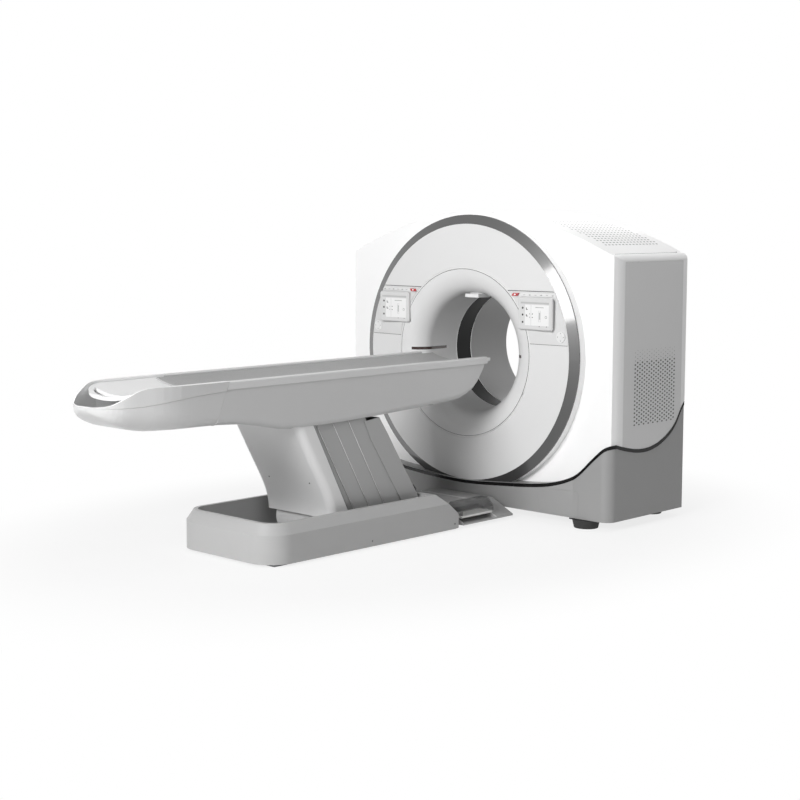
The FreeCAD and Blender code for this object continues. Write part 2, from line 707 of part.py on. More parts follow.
def make_front_face(nodes):
    disc = turned([(seam_ring_inner, funnel_mouth_y + seam_ring_depth),
                   (seam_ring_outer, funnel_mouth_y + seam_ring_depth),
                   (seam_ring_outer, funnel_mouth_y), (disc_outer_radius, cone_y(disc_outer_radius)),
                   (disc_outer_radius, cone_y(disc_outer_radius) + cover_wall),
                   (seam_ring_outer, funnel_mouth_y + seam_ring_depth + cover_wall),
                   (seam_ring_inner, funnel_mouth_y + seam_ring_depth + cover_wall)])
    stop_hole = prism_y(grown(stop_outline, button_clearance), -far, 0)
    pad_hole = rod_y(pad_x, pad_z, pad_radius + button_clearance, -far, 0)
    holes = both_sides(stop_hole.fuse(pad_hole))
    nodes["front_disc"] = disc.cut(holes)

    nodes["trim_ring"] = turned([(trim_inner_radius, disc_outer_y), (trim_outer_radius, 0),
                                 (trim_outer_radius, trim_return), (trim_outer_radius - trim_wall, trim_return),
                                 (trim_outer_radius - trim_wall, trim_wall / 2),
                                 (trim_inner_radius, disc_outer_y + trim_wall)])

    funnel, windows = funnel_parts()
    nodes["front_funnel"] = funnel
    nodes["laser_windows"] = windows
    nodes["scan_window"] = ring(bore_radius + window_step, bore_radius + bore_wall, window_y[0], window_y[1])
    nodes["rear_funnel"] = turned([(bore_radius, rear_tube_start_y), (bore_radius, rear_bulge_y - rear_lip),
                                   (bore_radius + rear_lip, rear_bulge_y),
                                   (rear_bulge_inner_radius - cover_seam, rear_bulge_y),
                                   (rear_bulge_inner_radius - cover_seam, rear_bulge_y - cover_wall),
                                   (bore_radius + bore_wall, rear_bulge_y - rear_lip - cover_wall),
                                   (bore_radius + bore_wall, rear_tube_start_y)])

    slab = face_slab(fascia_inner_radius, fascia_outer_radius, -fascia_thickness, 0)
    fascia = slab.common(box(0, far, -far, far, fascia_z[0], fascia_z[1])).cut(holes)
    nodes["control_fascias"] = pair(fascia)

    strip_slab = face_slab(seam_ring_outer, fascia_outer_radius, -fascia_thickness - key_strip_thickness,
                           -fascia_thickness)
    strip = strip_slab.common(box(key_strip_x[0], key_strip_x[1], -far, far, key_strip_z[0], key_strip_z[1]))
    key_slab = face_slab(seam_ring_outer, fascia_outer_radius,
                         -fascia_thickness - key_strip_thickness - key_rise,
                         -fascia_thickness - key_strip_thickness / 2)
    key_middle = (key_strip_z[0] + key_strip_z[1]) / 2
    for index in range(key_count):
        start = key_first_x + index * key_pitch
        key = box(start, start + key_length, -far, far,
                  key_middle - key_height / 2, key_middle + key_height / 2)
        strip = strip.fuse(key_slab.common(key))
    nodes["key_strips"] = pair(strip)

    tablet = prism_y([(tablet_x[0], tablet_z[0]), (tablet_x[1], tablet_z[0]), (tablet_x[1], tablet_z[1]),
                      (tablet_x[0], tablet_z[1])], tablet_y[0], tablet_y[1])
    upright = [edge for edge in tablet.Edges if edge.BoundBox.YLength > overshoot]
    tablet = tablet.makeFillet(tablet_corner, upright)
    rim = [edge for edge in tablet.Edges if edge.BoundBox.YMax < tablet_y[0] + cover_seam]
    tablet = tablet.makeChamfer(tablet_bevel, rim)
    tablet = tablet.cut(box(tablet_x[0] + screen_border, tablet_x[1] - screen_border, tablet_y[0],
                            tablet_y[0] + screen_depth, tablet_z[0] + screen_border,
                            tablet_z[1] - screen_border))
    mount_region = turned([(seam_ring_outer, tablet_y[1]), (fascia_outer_radius, tablet_y[1]),
                           (fascia_outer_radius, cone_y(fascia_outer_radius) - fascia_thickness),
                           (seam_ring_outer, cone_y(seam_ring_outer) - fascia_thickness)])
    mount = mount_region.common(box(tablet_mount_x[0], tablet_mount_x[1], -far, far, tablet_mount_z[0],
                                    tablet_mount_z[1]))
    tablet = joined([tablet, mount])
    nodes["tablets"] = pair(tablet)

    bore_space = turned([(0, funnel_throat_y), (bore_radius, funnel_throat_y), (bore_radius, funnel_end_y),
                         (0, funnel_end_y)])
    top = isocentre_height + bore_radius
    indicator = box(-indicator_half_width, indicator_half_width, funnel_throat_y, indicator_y[1],
                    top - indicator_drop, top + overshoot).common(bore_space)
    lip = box(-indicator_half_width, indicator_half_width, indicator_y[0], funnel_throat_y,
              top - indicator_drop, top - indicator_drop / 3)
    nodes["bore_indicator"] = joined([indicator, lip])


def grown(outline, distance):
    middle_x = sum(point[0] for point in outline) / len(outline)
    middle_z = sum(point[1] for point in outline) / len(outline)
    return [(x + math.copysign(distance, x - middle_x), z + math.copysign(distance, z - middle_z))
            for x, z in outline]


def make_buttons(nodes):
    stop = prism_y(stop_outline, stop_front_y, stop_back_y)
    stop_plate = prism_y(grown(stop_outline, stop_flange), stop_back_y - flange_thickness, stop_back_y)
    stop = joined([stop, stop_plate])
    nodes["e_stop_right"] = stop
    nodes["e_stop_left"] = mirrored(stop)

    pad = rod_y(pad_x, pad_z, pad_radius, pad_front_y, pad_back_y)
    pad_plate = rod_y(pad_x, pad_z, pad_flange_radius, pad_back_y - flange_thickness, pad_back_y)
    pad = joined([pad, pad_plate]).cut(rod_y(pad_x, pad_z, key_radius + button_clearance, -far, 0))
    nodes["direction_pad_right"] = pad
    nodes["direction_pad_left"] = mirrored(pad)

    key = rod_y(pad_x, pad_z, key_radius, key_front_y, key_back_y)
    key_plate = rod_y(pad_x, pad_z, key_flange_radius, key_back_y - flange_thickness / 2, key_back_y)
    key = joined([key, key_plate])
    nodes["centre_key_right"] = key
    nodes["centre_key_left"] = mirrored(key)


def skirt_wire(inset, bow, z):
    side = housing_half_width - inset
    front = skirt_front_y + inset
    rear = housing_rear_y - inset
    radius = skirt_corner_radius - inset
    rear_radius = skirt_rear_radius - inset
    arc_x = housing_half_width - skirt_bow_inset

    def corner(cx, cy, radius, start_deg):
        points = [V(cx + radius * math.cos(math.radians(start_deg + step)),
                    cy + radius * math.sin(math.radians(start_deg + step)), z) for step in (0, 45, 90)]
        return Part.Arc(*points).toShape()

    edges = [line(V(-side + radius, front, z), V(-arc_x, front, z)),
             Part.Arc(V(-arc_x, front, z), V(0, front - bow, z), V(arc_x, front, z)).toShape(),
             line(V(arc_x, front, z), V(side - radius, front, z)),
             corner(side - radius, front + radius, radius, 270),
             line(V(side, front + radius, z), V(side, rear - rear_radius, z)),
             corner(side - rear_radius, rear - rear_radius, rear_radius, 0),
             line(V(side - rear_radius, rear, z), V(-side + rear_radius, rear, z)),
             corner(-side + rear_radius, rear - rear_radius, rear_radius, 90),
             line(V(-side, rear - rear_radius, z), V(-side, front + radius, z)),
             corner(-side + radius, front + radius, radius, 180)]
    return Part.Wire(edges)


def skirt_block(inset, drop):
    foot = skirt_wire(inset, skirt_bow_start, skirt_floor_z - drop)
    knee = skirt_wire(inset, skirt_bow, skirt_bow_full_z)
    lower = Part.makeLoft([foot, knee], True, True)
    upper = Part.Face(knee).extrude(V(0, 0, skirt_top_z + drop - skirt_bow_full_z))
    return lower.fuse(upper)


def make_skirt(nodes):
    outer = skirt_block(0, 0)
    inner = skirt_block(cover_wall, overshoot)
    under = below_wave(0)
    wall = outer.cut(inner).common(under)
    band = under.cut(below_wave(-trim_band_height))
    groove = skirt_block(-trim_band_proud, 0).cut(skirt_block(trim_band_sunk, overshoot)).common(band)
    shelf_band = under.cut(below_wave(-shelf_thickness))
    ring_space = turned([(0, funnel_mouth_y - ring_shelf_gap),
                         (seam_ring_outer, funnel_mouth_y - ring_shelf_gap),
                         (trim_inner_radius, disc_outer_y - ring_shelf_gap),
                         (trim_outer_radius + ring_shelf_gap, -ring_shelf_gap / 2),
                         (trim_outer_radius + ring_shelf_gap, housing_front_y), (0, housing_front_y)])
    shelf = skirt_block(cover_wall - overshoot, 0).common(shelf_band)
    shelf = shelf.common(box(-far, far, -far, front_seam_y, 0, far)).cut(ring_space)
    dish_space = rod_y(0, isocentre_height, rear_bulge_radius + cover_seam, rear_seam_y, far)
    groove = groove.cut(dish_space)
    skirt = joined([wall, shelf]).cut(groove).cut(dish_space)

    middle_x = (hatch_x[0] + hatch_x[1]) / 2
    half = (hatch_x[1] - hatch_x[0]) / 2
    hatch = prism_y([(middle_x - half, hatch_z[0]), (middle_x + half, hatch_z[0]),
                     (middle_x + half, hatch_z[1]), (middle_x - half, hatch_z[1])], -hatch_reach,
                    housing_front_y)
    long_edges = [edge for edge in hatch.Edges if edge.BoundBox.YLength > overshoot]
    hatch = hatch.makeFillet(hatch_corner, long_edges)
    opening = prism_y([(middle_x - half - cover_seam, hatch_z[0] - cover_seam),
                       (middle_x + half + cover_seam, hatch_z[0] - cover_seam),
                       (middle_x + half + cover_seam, hatch_z[1] + cover_seam),
                       (middle_x - half - cover_seam, hatch_z[1] + cover_seam)], -hatch_reach,
                      housing_front_y)
    long_edges = [edge for edge in opening.Edges if edge.BoundBox.YLength > overshoot]
    opening = opening.makeFillet(hatch_corner + cover_seam, long_edges)
    nodes["skirt_hatches"] = pair(skirt.common(hatch))
    nodes["base_skirt"] = skirt.cut(both_sides(opening))
    nodes["skirt_trim"] = groove


# ---------------------------------------------------------------- gantry structure and rotor

def make_gantry_frame(nodes):
    half_outline = [(portal_outline[0][0], beam_z[0])] + portal_outline
    outline = half_outline + [(-x, z) for x, z in half_outline[::-1]]
    portal = prism_y(outline, portal_y[0], portal_y[1])
    beam = box(beam_x[0], beam_x[1], beam_front_y, housing_rear_y - beam_rear_gap, beam_z[0], beam_z[1])
    gusset_start_x = beam_x[0] + gusset_beam_gap
    gusset = prism_x([(gusset_y[0], beam_z[1]), (gusset_y[1], beam_z[1]), (gusset_y[1], gusset_top_z)],
                     gusset_start_x, gusset_start_x + gusset_thickness)
    side = [beam, gusset]
    for y in (anchor_front_y, anchor_rear_y):
        side.append(box(ear_x[0], ear_x[1], y - ear_half_length, y + ear_half_length, 0, ear_thickness))
        side.append(box(ear_x[1] - ear_web_width, ear_x[1], y - ear_half_length, y + ear_half_length, 0,
                        ear_web_top_z))
    crosses = [box(-beam_x[0], beam_x[0], y[0], y[1], beam_z[0], cross_top_z)
               for y in (cross_front_y, cross_rear_y)]
    frame = joined([portal] + side + [mirrored(piece) for piece in side] + crosses)
    frame = frame.cut(rod_y(0, isocentre_height, bearing_outer_radius, -far, far))
    for y in (anchor_front_y, anchor_rear_y):
        for x in (-anchor_spacing_x / 2, anchor_spacing_x / 2):
            frame = frame.cut(rod_z(x, y, anchor_hole_radius, -overshoot, ear_thickness + overshoot))
    feet = []
    for x, y in foot_positions:
        for signed_x in (x, -x):
            hole = rod_z(signed_x, y, foot_stem_radius + foot_hole_clearance, 0, beam_z[1] + overshoot)
            frame = frame.cut(hole)
            pad = Part.makeCone(foot_bottom_radius, foot_top_radius, foot_height, V(signed_x, y, 0))
            collar = rod_z(signed_x, y, foot_collar_radius, foot_height, beam_z[0])
            stem = rod_z(signed_x, y, foot_stem_radius, foot_height, foot_stem_top_z)
            feet.append(joined([pad, collar, stem]))
    nodes["gantry_frame"] = frame
    nodes["levelling_feet"] = Part.makeCompound(feet)

    nodes["main_bearing"] = ring(sleeve_outer_radius + running_clearance, bearing_outer_radius, bearing_y[0],
                                 bearing_y[1])
    nodes["ring_motor_stator"] = ring(stator_inner_radius, stator_inner_radius + stator_width, stator_y[0],
                                      stator_y[1])
    block = box(-brush_half_width, brush_half_width, portal_y[1], slip_ring_y[1], brush_block_bottom_z,
                brush_block_bottom_z + brush_block_height)
    fingers = [block]
    for x in (-brush_half_width + brush_finger_half_width, brush_half_width - brush_finger_half_width):
        fingers.append(box(x - brush_finger_half_width, x + brush_finger_half_width, brush_y[0], brush_y[1],
                           isocentre_height + slip_ring_radius - brush_half_width, brush_block_bottom_z))
    block = joined(fingers)
    nodes["brush_block"] = block.cut(rod_y(0, isocentre_height, slip_ring_radius + brush_gap, -far, far))


def sector(radii, y_range, from_deg, to_deg):
    """Part of a ring between two angles, counted clockwise from straight up."""
    reach = rotor_plate_radius * 2
    outline = [(0, isocentre_height)]
    for step in range(sector_steps + 1):
        angle = math.radians(from_deg + (to_deg - from_deg) * step / sector_steps)
        outline.append((reach * math.sin(angle), isocentre_height + reach * math.cos(angle)))
    return ring(radii[0], radii[1], y_range[0], y_range[1]).common(prism_y(outline, -far, far))


def make_rotor(nodes):
    sleeve_inner_radius = sleeve_outer_radius - sleeve_wall
    plate = ring(sleeve_inner_radius, rotor_plate_radius, rotor_plate_y[0], rotor_plate_y[1])
    lip = ring(rotor_lip_radius, rotor_plate_radius, rotor_lip_y, rotor_plate_y[1])
    sleeve = ring(sleeve_inner_radius, sleeve_outer_radius, rotor_plate_y[0], rotor_end_y)
    rotor = joined([plate, lip, sleeve])
    for index in range(rotor_hole_count):
        angle = math.radians(rotor_hole_first_deg + index * 360 / rotor_hole_count)
        rotor = rotor.cut(rod_y(rotor_hole_circle * math.cos(angle),
                                isocentre_height + rotor_hole_circle * math.sin(angle), rotor_hole_radius,
                                -far, far))
    magnets = ring(sleeve_outer_radius + magnet_sleeve_gap, stator_inner_radius - magnet_air_gap, magnet_y[0],
                   magnet_y[1])
    nodes["rotating_frame"] = joined([rotor, magnets])

    slip = ring(sleeve_outer_radius, slip_ring_radius, slip_ring_y[0], slip_ring_y[1])
    groove_pitch = (slip_ring_y[1] - slip_ring_y[0]) / slip_groove_count
    for index in range(slip_groove_count):
        start = slip_ring_y[0] + groove_pitch * (index + 1 / 2) - slip_groove_width / 2
        slip = slip.cut(ring(slip_ring_radius - slip_groove_depth, slip_ring_radius + overshoot, start,
                             start + slip_groove_width))
    nodes["slip_ring"] = slip

    tube_z = isocentre_height + tube_centre_offset
    collimator = box(-collimator_half_width, collimator_half_width, collimator_front_y, rotor_plate_y[0],
                     collimator_bottom_z, tube_z)
    nodes["xray_tube"] = joined([rod_y(0, tube_z, tube_radius, component_front_y, rotor_plate_y[0]),
                                 rod_y(0, tube_z, tube_cap_radius, tube_cap_y, component_front_y),
                                 collimator])
    generator = box(-unit_x[1], -unit_x[0], component_front_y, rotor_plate_y[0],
                    isocentre_height - unit_half_height, isocentre_height + unit_half_height)
    nodes["hv_generator"] = generator
    exchanger = mirrored(generator)
    pitch = 2 * unit_half_height / fin_count
    for index in range(fin_count):
        start = isocentre_height - unit_half_height + pitch * index + (pitch - fin_slot) / 2
        exchanger = exchanger.cut(box(unit_x[0] - overshoot, unit_x[1] + overshoot,
                                      component_front_y - overshoot,
                                      component_front_y + fin_depth, start, start + fin_slot))
    nodes["heat_exchanger"] = exchanger
    nodes["detector_arc"] = sector(detector_radii, detector_y, 180 - detector_half_angle,
                                   180 + detector_half_angle)
    nodes["balance_weights"] = pair(sector(weight_radii, weight_y, weight_angles[0], weight_angles[1]))


# ---------------------------------------------------------------- table top

def tub_wire(y, width, top_z, crease_z, step, bottom_z, radius):
    """Cross-section of the tub: straight sides with a step at the crease and rounded lower corners."""
    low = width - step
    turn = math.sqrt(1 / 2)
    corner = bottom_z + radius
    points = [V(width, y, top_z), V(width, y, crease_z), V(low, y, crease_z - step), V(low, y, corner)]
    bend = V(low - radius + radius * turn, y, corner - radius * turn)
    floor_right = V(low - radius, y, bottom_z)
    floor_left = V(-floor_right.x, y, bottom_z)
    left = [V(-point.x, y, point.z) for point in points]
    edges = [line(a, b) for a, b in zip(points, points[1:])]
    edges.append(Part.Arc(points[-1], bend, floor_right).toShape())
    edges.append(line(floor_right, floor_left))
    edges.append(Part.Arc(floor_left, V(-bend.x, y, bend.z), left[-1]).toShape())
    edges += [line(a, b) for a, b in zip(left[::-1], left[-2::-1])]
    edges.append(line(left[0], points[0]))
    return Part.Wire(edges)


def plain_tub_wire(y, width, top_z, bottom_z, radius):
    turn = math.sqrt(1 / 2)
    corner = bottom_z + radius
    right = [V(width, y, top_z), V(width, y, corner)]
    bend = V(width - radius + radius * turn, y, corner - radius * turn)
    floor_right = V(width - radius, y, bottom_z)
    edges = [line(right[0], right[1]), Part.Arc(right[1], bend, floor_right).toShape(),
             line(floor_right, V(-floor_right.x, y, bottom_z)),
             Part.Arc(V(-floor_right.x, y, bottom_z), V(-bend.x, y, bend.z), V(-width, y, corner)).toShape(),
             line(V(-width, y, corner), V(-width, y, top_z)), line(V(-width, y, top_z), right[0])]
    return Part.Wire(edges)


def nose_radius(y, width, height):
    """Lower corner of the nose: as round as its height and width there allow."""
    return min(smooth_value(nose_corner, y), (height - nose_crease_step) * nose_corner_share,
               width * nose_corner_width)


def make_table_top(nodes):
    outer_wires = []
    for y, z in hull_profile:
        radius = min(hull_corner, (rim_bottom_z - z) / 2)
        outer_wires.append(plain_tub_wire(y, hull_half_width, rim_bottom_z, z, radius))
    inner_wires = []
    for y, z in offset_points(hull_profile, hull_wall):
        radius = min(hull_corner - hull_wall, (rim_bottom_z - z) / 2)
        inner_wires.append(plain_tub_wire(y, hull_half_width - hull_wall, rim_top_z, z, radius))
    hull = Part.makeLoft(outer_wires, True, True).cut(Part.makeLoft(inner_wires, True, True))
    opening = box(-hull_opening_x, hull_opening_x, hull_opening_y[0], hull_opening_y[1], 0, frame_beam_z[0])
    channel = box(-channel_half_width, channel_half_width, -far, 0, channel_bottom_z, far)
    seam_top = (nose_seam_top_y, rim_top_z)
    seam_bottom = (nose_seam_bottom_y, nose_seam_bottom_z)
    slope = (seam_top[0] - seam_bottom[0]) / (seam_top[1] - seam_bottom[1])
    high = (seam_top[0] + slope * seam_reach, seam_top[1] + seam_reach)
    low = (seam_bottom[0] - slope * seam_reach, seam_bottom[1] - seam_reach)
    foot_side = prism_x([high, low, (-far, low[1]), (-far, high[1])], -far, far)
    shifted = foot_side.copy()
    shifted.translate(V(0, -cover_seam, 0))
    nodes["hull_shell"] = hull.cut(opening).cut(channel).cut(foot_side)

    outer_nose = []
    for y in nose_stations:
        width = smooth_value(nose_plan, y)
        crease_z = smooth_value(nose_crease, y)
        bottom_z = smooth_value(nose_keel, y)
        outer_nose.append(tub_wire(y, width, smooth_value(nose_lip, y), crease_z, nose_crease_step, bottom_z,
                                   nose_radius(y, width, crease_z - bottom_z)))
    bowl = []
    for y in bowl_stations:
        width = smooth_value(bowl_plan, y)
        bottom_z = smooth_value(nose_keel, y) + bowl_floor
        around = nose_radius(y, smooth_value(nose_plan, y), smooth_value(nose_crease, y) - bottom_z)
        radius = min(max(bowl_corner, around - bowl_floor), (smooth_value(nose_lip, y) - bottom_z) / 2)
        bowl.append(plain_tub_wire(y, width, far / 2, bottom_z, radius))
    nose = Part.makeLoft(outer_nose, True, True).cut(Part.makeLoft(bowl, True, True))
    nodes["nose_cap"] = nose.common(shifted)

    rim = box(rim_inner_x, rim_outer_x, nose_seam_bottom_y, rim_head_y, rim_bottom_z, rim_top_z)
    soft = [edge for edge in rim.Edges if edge.BoundBox.ZMin > rim_top_z - overshoot
            or (edge.BoundBox.YMin > rim_head_y - overshoot and edge.BoundBox.ZLength > overshoot)]
    rim = rim.makeFillet(rim_round, soft).cut(foot_side)
    nodes["side_rims"] = pair(rim)


def dished_slab(lift, thickness, y0, y1):
    """A slab bent to the cradle's arc, a little wider than the cradle so that its outline can trim it."""
    dish = cradle_edge_z - cradle_centre_z
    bend = (cradle_half_width ** 2 + dish ** 2) / (2 * dish)
    reach = cradle_half_width + cover_wall
    reach_z = cradle_centre_z + bend - math.sqrt(bend ** 2 - reach ** 2)
    left = V(-reach, y0, reach_z + lift)
    right = V(reach, y0, reach_z + lift)
    middle = V(0, y0, cradle_centre_z + lift)
    down = V(0, 0, -thickness)
    edges = [Part.Arc(left, middle, right).toShape(), line(right, right + down),
             Part.Arc(right + down, middle + down, left + down).toShape(), line(left + down, left)]
    return Part.Face(Part.Wire(edges)).extrude(V(0, y1 - y0, 0))


def cradle_plan(inset):
    square = overshoot
    return plan_block(cradle_half_width - inset, cradle_foot_y + inset, cradle_head_y, cradle_corner - inset,
                      square, 0, far)


def make_cradle(nodes):
    slab = dished_slab(0, cradle_thickness, cradle_foot_y, cradle_head_y).common(cradle_plan(0))
    slot = cradle_plan(grip_bar_width).common(box(-far, far, -far, grip_slot_rear_y, 0, far))
    slab = slab.cut(slot)
    foot_end = box(-far, far, -far, grip_seam_y, 0, far)
    nodes["cradle_grip"] = slab.common(foot_end)
    slab = slab.cut(foot_end)
    runner = box(runner_x[0], runner_x[1], runner_y[0], runner_y[1], runner_bottom_z, runner_top_z)
    nodes["cradle"] = joined([slab, runner, mirrored(runner)])
    pad = dished_slab(mat_thickness, mat_thickness, mat_foot_y, cradle_head_y)
    nodes["mat"] = pad.common(box(-mat_half_width, mat_half_width, -far, 0, 0, far))


def lean(pivot_y):
    run = arm_length * math.sin(math.radians(arm_lean_deg))
    rise = arm_length * math.cos(math.radians(arm_lean_deg))
    return pivot_y - run, lift_pivot_z + rise


def make_table_frame(nodes):
    beam = box(frame_beam_x[0], frame_beam_x[1], frame_beam_y[0], frame_beam_y[1], frame_beam_z[0],
               frame_beam_z[1])
    plate = box(frame_plate_x[0], frame_plate_x[1], frame_plate_y[0], frame_plate_y[1], frame_plate_bottom_z,
                frame_beam_z[1])
    rail = box(rail_x[0], rail_x[1], rail_y[0], rail_y[1], frame_beam_z[1], rail_top_z)
    side = [beam, plate, rail]
    for y in hanger_y:
        side.append(box(frame_beam_x[0], frame_beam_x[1], y, y + hanger_length, hanger_z[0], hanger_z[1]))
        side.append(box(frame_beam_x[0], hull_half_width - hull_wall, y, y + hanger_length,
                        frame_beam_z[0], frame_beam_z[0] + cover_wall))
    crosses = [box(-frame_beam_x[0], frame_beam_x[0], y, y + frame_cross_width, frame_beam_z[0],
                   frame_beam_z[1])
               for y in frame_cross_y]
    shafts = []
    for shaft_y in (table_datum[0], table_datum[0] + front_pivot_y - rear_pivot_y):
        shafts.append(rod_x(shaft_y, table_datum[1], shaft_radius, -frame_plate_x[1], frame_plate_x[1]))
    nodes["table_top_frame"] = joined(side + [mirrored(piece) for piece in side] + crosses + shafts)
    nodes["cradle_drive_unit"] = box(*drive_box)


def set_on_arms(nodes):
    top_y, top_z = lean(rear_pivot_y)
    for name in ("hull_shell", "nose_cap", "side_rims", "cradle", "cradle_grip", "mat", "table_top_frame",
                 "cradle_drive_unit"):
        nodes[name].translate(V(0, top_y - table_datum[0], top_z - table_datum[1]))


# ---------------------------------------------------------------- lift and column

def beside_arm(pivot_y, across, along):
    """Point at a distance across and along an arm, from its lower pivot."""
    turn = math.radians(arm_lean_deg)
    return (pivot_y + across * math.cos(turn) - along * math.sin(turn),
            lift_pivot_z + across * math.sin(turn) + along * math.cos(turn))


def make_arm(pivot_y):
    corners = [beside_arm(pivot_y, -arm_half_depth, 0), beside_arm(pivot_y, arm_half_depth, 0),
               beside_arm(pivot_y, arm_half_depth, arm_length),
               beside_arm(pivot_y, -arm_half_depth, arm_length)]
    bar = prism_x(corners, arm_x[0], arm_x[1])
    top_y, top_z = lean(pivot_y)
    bosses = [rod_x(pivot_y, lift_pivot_z, arm_boss_radius, arm_x[0], arm_x[1]),
              rod_x(top_y, top_z, arm_boss_radius, arm_x[0], arm_x[1])]
    bar = joined([bar] + bosses)
    middle_y, middle_z = beside_arm(pivot_y, 0, arm_length / 2)
    arm = joined([bar, mirrored(bar), rod_x(middle_y, middle_z, arm_tube_radius, -arm_x[0], arm_x[0])])
    hole = shaft_radius + running_clearance
    arm = arm.cut(rod_x(pivot_y, lift_pivot_z, hole, -far, far))
    return arm.cut(rod_x(top_y, top_z, hole, -far, far))


def arm_web(pivot_y, across_from, across_to, height):
    along = (height - lift_pivot_z) / math.cos(math.radians(arm_lean_deg))
    corners = [beside_arm(pivot_y, across_from, along), beside_arm(pivot_y, across_to, along),
               beside_arm(pivot_y, across_to, along + web_height),
               beside_arm(pivot_y, across_from, along + web_height)]
    return prism_x(corners, web_x[0], web_x[1])


def make_column(nodes):
    nodes["lift_arm_front"] = make_arm(front_pivot_y)
    nodes["lift_arm_rear"] = make_arm(rear_pivot_y)

    inner_edge = offset_points(rear_cover_edge, -rear_cover_wall)
    wall = prism_x(rear_cover_edge + inner_edge[::-1], -rear_cover_x[1], rear_cover_x[1])
    flange = prism_x(rear_cover_edge + rear_cover_flange[::-1], rear_cover_x[0], rear_cover_x[1])
    webs = [arm_web(rear_pivot_y, arm_half_depth, web_reach, height) for height in rear_web_z]
    inside = prism_x(inner_edge + [(front_pivot_y, inner_edge[-1][1]), (rear_space_y, inner_edge[0][1])],
                     -far, far)
    webs = [web.common(inside) for web in webs]
    rear_pieces = [wall, flange, mirrored(flange)] + webs + [mirrored(web) for web in webs]
    nodes["column_rear_cover"] = joined(rear_pieces)

    front_edge = [V(-front_shell_x[1], y, z) for y, z in front_shell_edge]
    rear_edge = [V(-front_shell_x[1], y, z) for y, z in front_shell_rear]
    chain = [front_edge[-1]] + rear_edge + [front_edge[0]]
    wire = Part.Wire([smooth_edge(front_edge)] + [line(a, b) for a, b in zip(chain, chain[1:])])
    shell = Part.Face(wire).extrude(V(2 * front_shell_x[1], 0, 0))
    shell = shell.makeFillet(front_shell_ridge, ridge_edges(shell, front_shell_x[1]))
    wall_thickness = front_shell_x[1] - front_shell_x[0]
    inner_points = offset_points(front_shell_edge, wall_thickness)
    first, last = inner_points[0], inner_points[-1]
    above = (first[0] + front_void_top[0], first[1] + front_void_top[1])
    below = (last[0] + front_void_foot[0], last[1] + front_void_foot[1])
    inner_points = [above] + inner_points + [below]
    inner_front = [V(-front_shell_x[0], y, z) for y, z in inner_points]
    back_y = front_pivot_y + front_void_depth
    inner_chain = [inner_front[-1], V(-front_shell_x[0], back_y, inner_front[-1].z),
                   V(-front_shell_x[0], back_y, inner_front[0].z), inner_front[0]]
    inner_lines = [line(a, b) for a, b in zip(inner_chain, inner_chain[1:])]
    inner_wire = Part.Wire([smooth_edge(inner_front)] + inner_lines)
    void = Part.Face(inner_wire).extrude(V(2 * front_shell_x[0], 0, 0))
    void = void.makeFillet(front_shell_ridge - wall_thickness, ridge_edges(void, front_shell_x[0]))
    front = shell.cut(void)
    webs = [arm_web(front_pivot_y, -web_reach, -arm_half_depth, height) for height in front_web_z]
    webs = [web.common(void) for web in webs]
    screw_y = interpolate(sorted((z, y) for y, z in front_shell_edge), shell_screw_z)
    across = V(0, -math.cos(math.radians(arm_lean_deg)), -math.sin(math.radians(arm_lean_deg)))
    screws = []
    for x in shell_screw_x:
        start = V(x, screw_y, shell_screw_z) - across * (shell_screw_length / 2)
        head = Part.makeCylinder(small_screw_radius, shell_screw_length, start, across)
        stop = shell.copy()
        stop.translate(across * small_screw_proud)
        screws.append(head.common(stop).cut(void))
    nodes["column_front_shell"] = joined([front] + webs + [mirrored(web) for web in webs] + screws)

    drum = rod_x(front_pivot_y, lift_pivot_z, heel_radius, -heel_half_width, heel_half_width)
    drum = drum.cut(rod_x(front_pivot_y, lift_pivot_z, heel_radius - heel_wall, -far, far))
    cheek = rod_x(front_pivot_y, lift_pivot_z, heel_radius, heel_cheek_x[0], heel_cheek_x[1])
    cheek = cheek.cut(rod_x(front_pivot_y, lift_pivot_z, shaft_radius + overshoot, -far, far))
    heel = joined([drum, cheek, mirrored(cheek)])
    nodes["heel_drum"] = heel.common(box(-far, far, -far, front_pivot_y, 0, heel_top_z))

    tangent = math.tan(math.radians(arm_lean_deg))
    for index, (start, end) in enumerate(strip_bands):
        outline = []
        for z, edges in ((strip_z[0], (start, end)), (strip_z[1], (end, start))):
            shift = (strip_reference_z - z) * tangent
            outline += [(edge + shift, z) for edge in edges]
        x0 = strip_first_x + strip_pitch_x * index
        strip = prism_x(outline, x0, x0 + strip_thickness)
        hole_radius = strip_pivot_radius + running_clearance
        strip = strip.cut(rod_x(strip_pin_y[index], lift_pivot_z, hole_radius, 0, far))
        nodes["side_strip_%d" % (index + 1)] = pair(strip)


def ridge_edges(shape, half_width):
    """The two long edges between the front face and the sides of the column shell."""
    chosen = []
    for edge in shape.Edges:
        near_side = abs(abs(edge.BoundBox.XMin) - half_width) < cover_seam
        on_side = near_side and edge.BoundBox.XLength < cover_seam
        tall = edge.BoundBox.ZLength > ridge_min_height
        curved = edge.Curve.TypeId != "Part::GeomLine"
        if on_side and tall and curved:
            chosen.append(edge)
    return chosen


# ---------------------------------------------------------------- table base

def base_block(inset, drop):
    half = base_half_width - inset
    y0 = base_y[0] + inset
    y1 = base_y[1] - inset
    front = base_front_corner - inset
    rear = base_rear_corner - inset
    shoulder = base_shoulder_z - inset / 2
    lower = plan_block(half, y0, y1, front, rear, base_bottom_z - drop, shoulder)
    upper = Part.makeLoft([rounded_plan(half, y0, y1, front, rear, shoulder),
                           rounded_plan(half - base_inset, y0 + base_inset, y1 - base_inset,
                                        front - base_inset,
                                        rear - base_inset, base_top_z - inset)], True, True)
    return joined([lower, upper])


